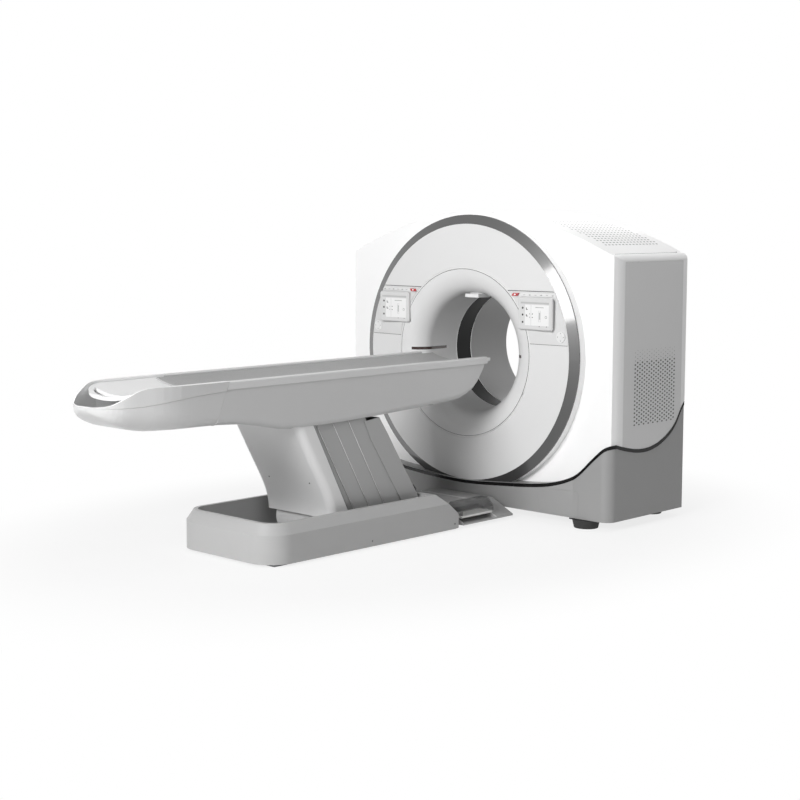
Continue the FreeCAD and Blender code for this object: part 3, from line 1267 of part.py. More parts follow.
def above_slope(drop):
    (top_y, top_z), (low_y, low_z) = base_slope
    grade = (low_z - top_z) / (low_y - top_y)
    start = (top_y - slope_reach, top_z - grade * slope_reach - drop)
    end = (low_y + slope_reach, low_z + grade * slope_reach - drop)
    return prism_x([start, end, (end[0], far), (start[0], far)], -far, far)


def make_base(nodes):
    slope_drop = cover_wall / math.cos(math.atan2(base_slope[0][1] - base_slope[1][1],
                                                  base_slope[1][0] - base_slope[0][0]))
    outer = base_block(0, 0).cut(above_slope(0))
    inner = base_block(cover_wall, overshoot).cut(above_slope(slope_drop))
    shell = outer.cut(inner)
    liner_outer = plan_block(well_half_width + well_wall, well_y[0] - well_wall, well_y[1] + well_wall,
                             well_corner + well_wall, well_corner / 2 + well_wall, base_plate_thickness,
                             base_top_z)
    liner_inner = plan_block(well_half_width, well_y[0], well_y[1], well_corner, well_corner / 2, 0,
                             base_top_z + overshoot)
    liner = liner_outer.common(outer)
    shell = joined([shell, liner]).cut(liner_inner)
    screw = rod_x(base_screw_y[0], base_screw_z, small_screw_radius, base_half_width - cover_wall,
                  base_half_width + small_screw_proud)
    screws = []
    for y in base_screw_y:
        head = screw.copy()
        head.translate(V(0, y - base_screw_y[0], 0))
        screws += [head, mirrored(head)]
    nodes["table_base_shell"] = joined([shell] + screws)

    plate = box(-base_plate_half_width, base_plate_half_width, base_plate_y[0], base_plate_y[1], 0,
                base_plate_thickness)
    cheek = box(base_side_x[0], base_side_x[1], base_side_y[0], base_side_y[1], base_plate_thickness,
                base_side_top_z)
    pieces = [plate, cheek, mirrored(cheek)]
    for y in (front_pivot_y, rear_pivot_y):
        pieces.append(rod_x(y, lift_pivot_z, shaft_radius, -base_side_x[1], base_side_x[1]))
    for index, y in enumerate(strip_pin_y):
        end = strip_first_x + strip_pitch_x * index + strip_thickness
        pin = rod_x(y, lift_pivot_z, strip_pivot_radius, base_side_x[0], end)
        pieces += [pin, mirrored(pin)]
    frame = joined(pieces)
    anchor_x = base_anchor[0]
    for y in base_anchor[1:]:
        for x in (-anchor_x, anchor_x):
            frame = frame.cut(rod_z(x, y, base_anchor_radius, -overshoot, base_plate_thickness + overshoot))
    nodes["table_base_frame"] = frame

    gear = rod_x(rear_pivot_y, lift_pivot_z, lift_gear_radius, -lift_gear_half_width, lift_gear_half_width)
    drive = joined([gear, box(*lift_motor_box)])
    nodes["lift_drive_unit"] = drive.cut(rod_x(rear_pivot_y, lift_pivot_z, shaft_radius, -far, far))


def make_pedals(nodes):
    outline = platform_outline + [(-x, z) for x, z in platform_outline[::-1]]
    void_outline = platform_inner_outline + [(-x, z) for x, z in platform_inner_outline[::-1]]
    outer = prism_y(outline, platform_y[0], platform_y[1])
    void = prism_y(void_outline, platform_y[0] + cover_wall, platform_y[1] - cover_wall)
    keep = box(recess_x - recess_wall, far, recess_y[0] - recess_wall, recess_y[1] + recess_wall, 0, far)
    void = void.cut(both_sides(keep))
    recess = box(recess_x, far, recess_y[0], recess_y[1], recess_floor_z, far)
    platform = outer.cut(void).cut(both_sides(recess))
    pin = rod_y(pedal_pin[0], pedal_pin[1], pedal_pin_radius, recess_y[0] - recess_wall,
                recess_y[1] + recess_wall)
    nodes["pedal_platform"] = joined([platform, pin, mirrored(pin)])

    hood = prism_y(hood_outline, recess_y[0], recess_y[1])
    inner = [(x + (hood_wall if x < recess_x + hood_wall else -hood_wall), z - hood_wall)
             for x, z in hood_outline]
    hollow = prism_y(inner, recess_y[0] + hood_wall, recess_y[1] - hood_wall)
    toe = box(recess_x + hood_wall, far, recess_y[0] + hood_wall, recess_y[1] - hood_wall, 0, toe_opening_z)
    hood = hood.cut(hollow).cut(toe)
    nodes["pedal_hoods"] = pair(hood)

    y0 = recess_y[0] + pedal_end_gap
    y1 = recess_y[1] - pedal_end_gap
    plate = box(pedal_pin[0], pedal_outer_x, y0, y1, pedal_z[0], pedal_z[1])
    soft = [edge for edge in plate.Edges if edge.BoundBox.XMin > pedal_outer_x - overshoot
            and edge.BoundBox.YLength > overshoot]
    plate = plate.makeFillet(pedal_round, soft)
    pedal = joined([plate, rod_y(pedal_pin[0], pedal_pin[1], pedal_boss_radius, y0, y1)])
    pedal = pedal.cut(rod_y(pedal_pin[0], pedal_pin[1], pedal_pin_radius + running_clearance, -far, far))
    nodes["foot_pedal_right"] = pedal
    nodes["foot_pedal_left"] = mirrored(pedal)


nodes = {}
make_gantry_covers(nodes)
make_front_face(nodes)
make_buttons(nodes)
make_skirt(nodes)
make_gantry_frame(nodes)
make_rotor(nodes)
make_table_top(nodes)
make_cradle(nodes)
make_table_frame(nodes)
set_on_arms(nodes)
make_column(nodes)
make_base(nodes)
make_pedals(nodes)

os.makedirs("parts", exist_ok=True)
for name, shape in nodes.items():
    placed = shape.copy()
    placed.translate(V(0, -anchor_mid_y, 0))
    bounds = placed.BoundBox
    print("%-22s solids %2d volume %9.1f cm3  x %7.1f %7.1f  y %8.1f %8.1f  z %7.1f %7.1f  %s" % (
        name, len(placed.Solids), placed.Volume / 1000, bounds.XMin, bounds.XMax, bounds.YMin, bounds.YMax,
        bounds.ZMin, bounds.ZMax, "ok" if placed.isValid() else "INVALID"))
    placed.exportStep("parts/" + name + ".step")
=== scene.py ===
import math

import bmesh
import bpy
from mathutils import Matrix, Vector
from mathutils.bvhtree import BVHTree


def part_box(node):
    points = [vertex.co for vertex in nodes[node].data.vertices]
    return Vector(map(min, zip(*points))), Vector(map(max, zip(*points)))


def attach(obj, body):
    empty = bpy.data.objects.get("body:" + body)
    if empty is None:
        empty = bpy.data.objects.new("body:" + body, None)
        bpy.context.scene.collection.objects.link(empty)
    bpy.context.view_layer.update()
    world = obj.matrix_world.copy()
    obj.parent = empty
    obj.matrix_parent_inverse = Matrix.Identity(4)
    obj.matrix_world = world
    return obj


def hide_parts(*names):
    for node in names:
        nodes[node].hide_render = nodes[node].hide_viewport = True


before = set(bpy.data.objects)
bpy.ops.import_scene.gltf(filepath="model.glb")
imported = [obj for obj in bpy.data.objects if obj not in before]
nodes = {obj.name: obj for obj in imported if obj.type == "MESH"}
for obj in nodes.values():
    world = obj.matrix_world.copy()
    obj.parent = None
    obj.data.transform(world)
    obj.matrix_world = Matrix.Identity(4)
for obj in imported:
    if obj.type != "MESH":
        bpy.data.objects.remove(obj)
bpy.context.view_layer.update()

scene = bpy.context.scene
ringPlane = -0.390      # the ring's rear outer edge, on y
boreHeight = 0.938
base = "gantry_and_base"
sides = (("Right", 1), ("Left", -1))
print("frame loaded:", len(nodes), "nodes")


# node helpers: a socket that can be added, multiplied and so on, and one method that adds any other node

def feed(tree, node, key, value):
    if isinstance(value, Wire):
        tree.links.new(value.socket, node.inputs[key])
    else:
        node.inputs[key].default_value = value


class Wire:
    def __init__(self, tree, socket):
        self.tree = tree
        self.socket = socket

    def maths(self, operation, first, second=0.0, clamp=False):
        node = self.tree.nodes.new("ShaderNodeMath")
        node.operation = operation
        node.use_clamp = clamp
        feed(self.tree, node, 0, first)
        feed(self.tree, node, 1, second)
        return Wire(self.tree, node.outputs[0])

    def __add__(self, other):
        return self.maths("ADD", self, other)

    def __radd__(self, other):
        return self.maths("ADD", other, self)

    def __sub__(self, other):
        return self.maths("SUBTRACT", self, other)

    def __rsub__(self, other):
        return self.maths("SUBTRACT", other, self)

    def __mul__(self, other):
        return self.maths("MULTIPLY", self, other)

    def __rmul__(self, other):
        return self.maths("MULTIPLY", other, self)

    def __truediv__(self, other):
        return self.maths("DIVIDE", self, other)

    def __mod__(self, other):
        return self.maths("MODULO", self, other)

    def __pow__(self, other):
        return self.maths("POWER", self, other)

    def __gt__(self, other):
        return self.maths("GREATER_THAN", self, other)

    def clamped(self):
        return self.maths("ADD", self, 0.0, clamp=True)

    def sine(self):
        return self.maths("SINE", self)

    def larger(self, other):
        return self.maths("MAXIMUM", self, other)

    def siblings(self):
        # every output of the node that this one comes from, by name
        return {socket.name: Wire(self.tree, socket) for socket in self.socket.node.outputs}


class NodeBoard:
    def __init__(self, tree):
        self.tree = tree
        tree.nodes.clear()

    def node(self, kind, settings=None, inputs=None, output=0):
        node = self.tree.nodes.new(kind)
        for key, value in (settings or {}).items():
            setattr(node, key, value)
        for key, value in (inputs or {}).items():
            feed(self.tree, node, key, value)
        return Wire(self.tree, node.outputs[output]) if node.outputs else None

    def vector(self, x, y, z):
        return self.node("ShaderNodeCombineXYZ", {}, {0: x, 1: y, 2: z})


class Finish(NodeBoard):
    def __init__(self, name):
        self.material = bpy.data.materials.new(name)
        self.material.use_nodes = True
        super().__init__(self.material.node_tree)
        self.output = self.tree.nodes.new("ShaderNodeOutputMaterial")
        self.shader = self.tree.nodes.new("ShaderNodeBsdfPrincipled")
        self.tree.links.new(self.shader.outputs[0], self.output.inputs[0])

    def set(self, key, value):
        feed(self.tree, self.shader, key, value)

    def place(self):
        return self.node("ShaderNodeTexCoord", output="Object")

    def axes(self):
        return self.node("ShaderNodeSeparateXYZ", {}, {"Vector": self.place()}).siblings().values()

    def noise(self, scale, detail=2.0, stretch=(1, 1, 1)):
        place = self.place()
        if stretch != (1, 1, 1):
            place = self.node("ShaderNodeMapping", {}, {"Vector": place, "Scale": stretch})
        return self.node("ShaderNodeTexNoise", {}, {"Vector": place, "Scale": scale, "Detail": detail})

    def mix(self, share, first, second):
        return self.node("ShaderNodeMix", {"data_type": "RGBA"}, {0: share, 6: first, 7: second}, output=2)

    def bump(self, height, strength, distance):
        inputs = {"Height": height, "Strength": strength, "Distance": distance}
        return self.node("ShaderNodeBump", {}, inputs)


def tone(grey, tint=(1.0, 1.0, 1.0)):
    # a screen grey from 0 to 255 as a linear colour
    value = grey / 255
    value = value / 12.92 if value <= 0.04045 else ((value + 0.055) / 1.055) ** 2.4
    return tuple(min(value * part, 1.0) for part in tint) + (1.0,)


def shaded(grey, tint, share):
    # the same tone a little darker or lighter
    return tuple(min(part * share, 1.0) for part in tone(grey, tint)[:3]) + (1.0,)


cover = {"driftScale": 1.7, "driftDetail": 3.0, "grainDetail": 2.0, "driftGloss": 0.10, "grainGloss": 0.05,
         "meanGloss": 0.075, "coatRough": 0.08, "depth": 0.0004}
lowDarkening = {"top": 0.35, "rate": 2.2, "scale": 9.0, "detail": 4.0, "grey": 150, "tint": (1.0, 0.98, 0.95)}


def coated(name, grey, tint=(1, 1, 1), rough=0.38, coat=0.0, peel=0.12, drift=0.03, metal=0.0, grain=420.0,
           lowShare=0.0):
    # moulded or sprayed cover: fine peel, a slow drift of tone, patches that are rubbed a little smoother
    finish = Finish(name)
    slow = finish.noise(cover["driftScale"], cover["driftDetail"])
    fine = finish.noise(grain, cover["grainDetail"])
    color = finish.mix(slow, shaded(grey, tint, 1 - drift), shaded(grey, tint, 1 + drift))
    # darker and warmer towards the floor, in noisy patches
    if lowShare:
        x, y, z = finish.axes()
        low = ((lowDarkening["top"] - z) * lowDarkening["rate"]).clamped()
        lowPatches = low * finish.noise(lowDarkening["scale"], lowDarkening["detail"]) * lowShare
        color = finish.mix(lowPatches, color, tone(lowDarkening["grey"], lowDarkening["tint"]))
    finish.set("Base Color", color)
    finish.set("Roughness", slow * cover["driftGloss"] + fine * cover["grainGloss"]
               + (rough - cover["meanGloss"]))
    finish.set("Metallic", metal)
    finish.set("Coat Weight", coat)
    finish.set("Coat Roughness", cover["coatRough"])
    finish.set("Normal", finish.bump(fine, peel, cover["depth"]))
    return finish.material


brushing = {"scale": 60.0, "detail": 3.0, "slowScale": 3.0, "dark": 0.86, "lineGloss": 0.16,
            "slowGloss": 0.08, "meanGloss": 0.12, "strength": 0.12, "depth": 0.0003}


def brushed(name, grey, direction, tint=(1, 1, 1), rough=0.34):
    finish = Finish(name)
    lines = finish.noise(brushing["scale"], brushing["detail"], stretch=direction)
    slow = finish.noise(brushing["slowScale"])
    finish.set("Base Color", finish.mix(lines, shaded(grey, tint, brushing["dark"]), tone(grey, tint)))
    finish.set("Roughness", lines * brushing["lineGloss"] + slow * brushing["slowGloss"]
               + (rough - brushing["meanGloss"]))
    finish.set("Metallic", 1.0)
    finish.set("Normal", finish.bump(lines, brushing["strength"], brushing["depth"]))
    return finish.material


ringMetal = {"turnScale": 900, "turnDetail": 2.0, "slowScale": 2.0, "dark": 70, "light": 92,
             "rough": 0.30, "varies": 0.10, "metal": 0.75, "coat": 1.0, "coatRough": 0.10,
             "strength": 0.08, "depth": 0.0003}


def darkRingMetal():
    # dark anodised ring under a clear coat, with turned marks round the bore
    finish = Finish("darkRingMetal")
    x, y, z = finish.axes()
    radius = (x * x + (z - boreHeight) * (z - boreHeight)) ** 0.5
    marks = radius * ringMetal["turnScale"] + y * ringMetal["turnScale"]
    turned = finish.node("ShaderNodeTexNoise", {"noise_dimensions": "1D"},
                         {"W": marks, "Scale": 1.0, "Detail": ringMetal["turnDetail"]})
    slow = finish.noise(ringMetal["slowScale"])
    finish.set("Base Color", finish.mix(turned * 0.5 + slow * 0.5, tone(ringMetal["dark"]),
                                        tone(ringMetal["light"])))
    finish.set("Roughness", turned * ringMetal["varies"] + slow * ringMetal["varies"] + ringMetal["rough"])
    finish.set("Metallic", ringMetal["metal"])
    finish.set("Coat Weight", ringMetal["coat"])
    finish.set("Coat Roughness", ringMetal["coatRough"])
    finish.set("Normal", finish.bump(turned, ringMetal["strength"], ringMetal["depth"]))
    return finish.material


vinyl = {"cellScale": 260.0, "creaseRate": 9.0, "poreScale": 900.0, "slowScale": 2.4, "slowDetail": 3.0,
         "dark": 146, "light": 180, "creaseHeight": 0.8, "poreHeight": 0.2, "slowTone": 0.5,
         "creaseShade": 0.4, "rough": 0.62, "varies": 0.08, "strength": 0.35, "depth": 0.0006}


def matVinyl():
    # grained vinyl: creased cells over a fine pore, the creases darker as painted shade, slightly shinier
    # where people slide on
    finish = Finish("matVinyl")
    cells = finish.node("ShaderNodeTexVoronoi", {"feature": "DISTANCE_TO_EDGE"},
                        {"Vector": finish.place(), "Scale": vinyl["cellScale"], "Randomness": 1.0})
    crease = (cells * vinyl["creaseRate"]).clamped()
    pore = finish.noise(vinyl["poreScale"])
    slow = finish.noise(vinyl["slowScale"], vinyl["slowDetail"])
    height = crease * vinyl["creaseHeight"] + pore * vinyl["poreHeight"]
    # painted shade: the creases are darker than the cells
    share = slow * vinyl["slowTone"] + crease * vinyl["creaseShade"]
    finish.set("Base Color", finish.mix(share, tone(vinyl["dark"]), tone(vinyl["light"])))
    finish.set("Roughness", vinyl["rough"] - crease * vinyl["varies"] + slow * vinyl["varies"])
    finish.set("Normal", finish.bump(height, vinyl["strength"], vinyl["depth"]))
    return finish.material


hood = {"scale": 8.0, "dark": 88, "light": 106, "rough": 0.10, "alpha": 0.30, "varies": 0.06, "shine": 0.3}


def clearHood():
    finish = Finish("clearHood")
    slow = finish.noise(hood["scale"])
    finish.set("Base Color", finish.mix(slow, tone(hood["dark"]), tone(hood["light"])))
    finish.set("Roughness", slow * hood["varies"] + hood["rough"])
    finish.set("Alpha", slow * hood["varies"] + hood["alpha"])
    finish.set("Specular IOR Level", hood["shine"])
    return finish.material


glossy = {"scale": 5.0, "detail": 3.0, "dark": 0.8, "varies": 0.08, "shine": 0.5, "shineBare": 0.2,
          "waveScale": 60.0, "strength": 0.04, "depth": 0.0003}


def gloss(name, grey, tint=(1, 1, 1), rough=0.1, coat=0.6):
    finish = Finish(name)
    slow = finish.noise(glossy["scale"], glossy["detail"])
    finish.set("Base Color", finish.mix(slow, shaded(grey, tint, glossy["dark"]), tone(grey, tint)))
    finish.set("Roughness", slow * glossy["varies"] + rough)
    finish.set("Coat Weight", coat)
    finish.set("Specular IOR Level", glossy["shine"] if coat else glossy["shineBare"])
    wave = finish.noise(glossy["waveScale"])
    finish.set("Normal", finish.bump(wave, glossy["strength"], glossy["depth"]))
    return finish.material


glass = {"rowRate": 4200.0, "dark": 0.96, "varies": 0.02, "rough": 0.14, "coat": 0.4}


def litScreen(name, grey, glow):
    # a screen behind glass: faint pixel rows, its own light
    finish = Finish(name)
    x, y, z = finish.axes()
    rows = (z * glass["rowRate"]).sine() * 0.5 + 0.5
    color = finish.mix(rows, shaded(grey, (1, 1, 1), glass["dark"]), tone(grey))
    finish.set("Base Color", color)
    finish.set("Emission Color", color)
    finish.set("Emission Strength", glow)
    finish.set("Roughness", rows * glass["varies"] + glass["rough"])
    finish.set("Coat Weight", glass["coat"])
    return finish.material


looks = {
    "whiteCover": coated("whiteCover", 246, rough=0.42, coat=0.15, peel=0.10, drift=0.006),
    "panelGrey": coated("panelGrey", 222, rough=0.46, peel=0.22, drift=0.012, grain=700.0),
    "discGrey": coated("discGrey", 219, rough=0.40, coat=0.2, peel=0.08, drift=0.01),
    "boreGrey": coated("boreGrey", 182, rough=0.42, coat=0.1, peel=0.08, drift=0.01),
    "skirtGrey": coated("skirtGrey", 151, rough=0.40, peel=0.18, drift=0.02, lowShare=0.35),
    "tableGrey": coated("tableGrey", 194, rough=0.36, coat=0.2, peel=0.10, drift=0.015),
    "baseGrey": coated("baseGrey", 173, rough=0.38, coat=0.1, peel=0.14, drift=0.02, lowShare=0.3),
    "tableLight": coated("tableLight", 208, rough=0.32, coat=0.3, peel=0.08, drift=0.012),
    "noseGrey": coated("noseGrey", 197, rough=0.34, coat=0.25, peel=0.08, drift=0.012),
    # a paler copy of the nose's finish, painted light on the scoop's upward and inward faces
    "scoopPaintedLight": coated("scoopPaintedLight", 244, rough=0.30, coat=0.3, peel=0.06, drift=0.01),
    "cradleLight": coated("cradleLight", 236, rough=0.34, coat=0.3, peel=0.06, drift=0.012),
    "columnGrey": coated("columnGrey", 222, rough=0.42, peel=0.14, drift=0.02, lowShare=0.2),
    "stripGrey": coated("stripGrey", 164, rough=0.40, peel=0.10, drift=0.02, metal=0.1),
    "platformGrey": coated("platformGrey", 172, rough=0.46, peel=0.30, drift=0.03, lowShare=0.3),
    "pedalPale": coated("pedalPale", 226, (1.0, 1.0, 0.98), rough=0.5, peel=0.30, drift=0.03),
    "bezelGrey": coated("bezelGrey", 210, rough=0.34, coat=0.3, peel=0.06, drift=0.01),
    "fasciaGrey": coated("fasciaGrey", 212, rough=0.44, peel=0.10, drift=0.01),
    "keyGrey": coated("keyGrey", 222, rough=0.45, peel=0.10, drift=0.01),
    "padGrey": coated("padGrey", 226, rough=0.45, peel=0.10, drift=0.01),
    "indicatorPale": coated("indicatorPale", 226, rough=0.3, coat=0.4, peel=0.04, drift=0.01),
    "blackRubber": coated("blackRubber", 44, rough=0.72, peel=0.5, drift=0.10, grain=260.0),
    "frameSteel": coated("frameSteel", 120, (0.97, 1.0, 1.03), rough=0.45, peel=0.35, drift=0.05),
    "darkMetal": coated("darkMetal", 72, rough=0.4, peel=0.30, drift=0.06, metal=0.4),
    "unitGrey": coated("unitGrey", 150, (0.97, 1.0, 1.03), rough=0.42, peel=0.3, drift=0.04),
    "blackPlastic": coated("blackPlastic", 40, rough=0.5, peel=0.4, drift=0.08),
    "rotorAluminium": brushed("rotorAluminium", 200, (1, 14, 1)),
    "bearingSteel": brushed("bearingSteel", 190, (1, 18, 1), rough=0.26),
    "slipBrass": brushed("slipBrass", 205, (1, 22, 1), (1.0, 0.83, 0.5), rough=0.24),
    "darkRingMetal": darkRingMetal(),
    "blackGloss": gloss("blackGloss", 14, rough=0.22, coat=0.0),
    "windowBlack": gloss("windowBlack", 4, rough=0.38, coat=0.0),
    "laserGlass": gloss("laserGlass", 62, (1.2, 0.72, 0.68), rough=0.12, coat=0.6),
    "stopRed": gloss("stopRed", 190, (1.0, 0.05, 0.07), rough=0.22, coat=0.6),
    "clearHood": clearHood(),
    "matVinyl": matVinyl(),
    # vent slots: dark discs, painted shade for the holes, lighter on the roof where more light falls
    "slotShadeSide": coated("slotShadeSide", 74, rough=0.7, peel=0.2, drift=0.10),
    "slotShadeRoof": coated("slotShadeRoof", 128, rough=0.7, peel=0.2, drift=0.10),
    "lineDark": coated("lineDark", 70, rough=0.6, peel=0.1, drift=0.06),
    "lineMiddle": coated("lineMiddle", 120, rough=0.6, peel=0.1, drift=0.04),
    # pale beads: painted highlights on edges
    "lineHighlight": coated("lineHighlight", 240, rough=0.35, peel=0.05, drift=0.02),
    "markGrey": coated("markGrey", 150, rough=0.5, peel=0.1, drift=0.03),
    "markWhite": coated("markWhite", 250, rough=0.4, peel=0.05, drift=0.01),
    "screwSteel": brushed("screwSteel", 104, (1, 1, 8), rough=0.4),
    "screenPale": litScreen("screenPale", 200, glow=0.16),
    "screenPanel": litScreen("screenPanel", 222, glow=0.16),
    "screenBar": litScreen("screenBar", 176, glow=0.12),
    "screenInk": litScreen("screenInk", 56, glow=0.04),
    "screenSoft": litScreen("screenSoft", 132, glow=0.10),
}
print("finishes made:", len(looks))

finishOf = {
    "whiteCover": ["front_housing", "roof_cover", "roof_edge_rails", "rear_cover"],
    "panelGrey": ["side_panels"],
    "discGrey": ["front_disc", "front_funnel"],
    "boreGrey": ["rear_funnel"],
    "fasciaGrey": ["control_fascias"],
    "darkRingMetal": ["trim_ring"],
    "laserGlass": ["laser_windows"],
    "windowBlack": ["scan_window"],
    "keyGrey": ["key_strips"],
    "bezelGrey": ["tablets"],
    "indicatorPale": ["bore_indicator"],
    "skirtGrey": ["base_skirt", "skirt_hatches"],
    "blackGloss": ["skirt_trim"],
    "baseGrey": ["table_base_shell"],
    "platformGrey": ["pedal_platform"],
    "clearHood": ["pedal_hoods"],
    "pedalPale": ["foot_pedal_left", "foot_pedal_right"],
    "frameSteel": ["gantry_frame", "table_base_frame", "table_top_frame", "lift_arm_front", "lift_arm_rear",
                   "balance_weights"],
    "blackRubber": ["levelling_feet"],
    "bearingSteel": ["main_bearing"],
    "darkMetal": ["ring_motor_stator", "lift_drive_unit", "cradle_drive_unit", "xray_tube"],
    "blackPlastic": ["brush_block"],
    "rotorAluminium": ["rotating_frame", "heat_exchanger"],
    "slipBrass": ["slip_ring"],
    "unitGrey": ["hv_generator", "detector_arc"],
    "stopRed": ["e_stop_left", "e_stop_right"],
    "padGrey": ["direction_pad_left", "direction_pad_right", "centre_key_left", "centre_key_right"],
    "columnGrey": ["column_front_shell", "heel_drum"],
    "stripGrey": ["side_strip_1", "side_strip_2", "side_strip_3", "side_strip_4", "column_rear_cover"],
    "tableGrey": ["hull_shell"],
    "noseGrey": ["nose_cap"],
    "tableLight": ["side_rims"],
    "cradleLight": ["cradle", "cradle_grip"],
}
for look, names in finishOf.items():
    for name in names:
        mesh = nodes[name].data
        mesh.materials.clear()
        mesh.materials.append(looks[look])
# painted light: the scoop's inside and its lip, the faces turned up or inward, get a paler copy of the
# nose's finish
scoop = {"inward": 0.3, "upward": 0.5}
nose = nodes["nose_cap"].data
nose.materials.append(looks["scoopPaintedLight"])
for polygon in nose.polygons:
    inward = -polygon.normal.x if polygon.center.x > 0 else polygon.normal.x
    if inward > scoop["inward"] or polygon.normal.z > scoop["upward"]:
        polygon.material_index = 1
print("CAD nodes finished")


# mesh helpers

def solidFrom(name, verts, faces, materials, indices=None, smooth=False):
    mesh = bpy.data.meshes.new(name)
    mesh.from_pydata(verts, [], faces)
    for material in materials:
        mesh.materials.append(looks[material])
    for polygon in mesh.polygons:
        polygon.use_smooth = smooth
        if indices:
            polygon.material_index = indices[polygon.index]
    mesh.update()
    piece = bpy.data.objects.new(name, mesh)
    scene.collection.objects.link(piece)
    return piece


def turnOutward(piece):
    work = bmesh.new()
    work.from_mesh(piece.data)
    bmesh.ops.recalc_face_normals(work, faces=work.faces)
    work.to_mesh(piece.data)
    work.free()


class Plates:
    # thin plates on the disc's face, each a flat outline with its own thickness and finish
    def __init__(self, name, materials):
        self.name = name
        self.materials = materials
        self.verts = []
        self.faces = []
        self.indices = []

    def plate(self, outline, frontY, thick, material):
        start = len(self.verts)
        count = len(outline)
        for y in (frontY, frontY + thick):
            self.verts += [(x, y, z) for x, z in outline]
        index = self.materials.index(material)
        ends = [tuple(range(start, start + count)),
                tuple(range(start + 2 * count - 1, start + count - 1, -1))]
        walls = [(start + (i + 1) % count, start + i, start + count + i, start + count + (i + 1) % count)
                 for i in range(count)]
        self.faces += ends + walls
        self.indices += [index] * (count + 2)

    def bar(self, x0, x1, z0, z1, frontY, thick, material):
        self.plate([(x0, z0), (x1, z0), (x1, z1), (x0, z1)], frontY, thick, material)

    def disc(self, x, z, radius, frontY, thick, material, count):
        turns = [2 * math.pi * i / count for i in range(count)]
        outline = [(x + radius * math.cos(turn), z + radius * math.sin(turn)) for turn in turns]
        self.plate(outline, frontY, thick, material)

    def make(self, body):
        piece = solidFrom(self.name, self.verts, self.faces, self.materials, self.indices)
        turnOutward(piece)
        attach(piece, body)


disc = {"faceY": ringPlane - 0.045, "innerRadius": 0.500, "outerRadius": 0.750, "coneDepth": 0.021}


def coneY(radius):
    # the disc's gently coned face, in the shared frame
    share = (radius - disc["innerRadius"]) / (disc["outerRadius"] - disc["innerRadius"])
    return disc["faceY"] + disc["coneDepth"] * share


# perforated fields, made by Geometry Nodes on the surface they belong to: each slot a dark disc, painted
# shade that stands in for the hole

def socketId(tree, name):
    for item in tree.interface.items_tree:
        if item.name == name and item.in_out == "INPUT":
            return item.identifier
    raise KeyError(name)


field = {"corners": 10, "radius": 0.5, "castReach": 1.0, "whole": 0.999, "inputs": {
    "Geometry": ["Geometry"], "Object": ["Surface"], "Material": ["Material"], "Int": ["Columns", "Rows"],
    "Float": ["Column Pitch", "Row Pitch", "Slot Width", "Slot Length", "Fade Rows", "Fade Start",
              "Fade End", "Lift"],
    "Vector": ["Centre", "Turn", "Cast"]}}


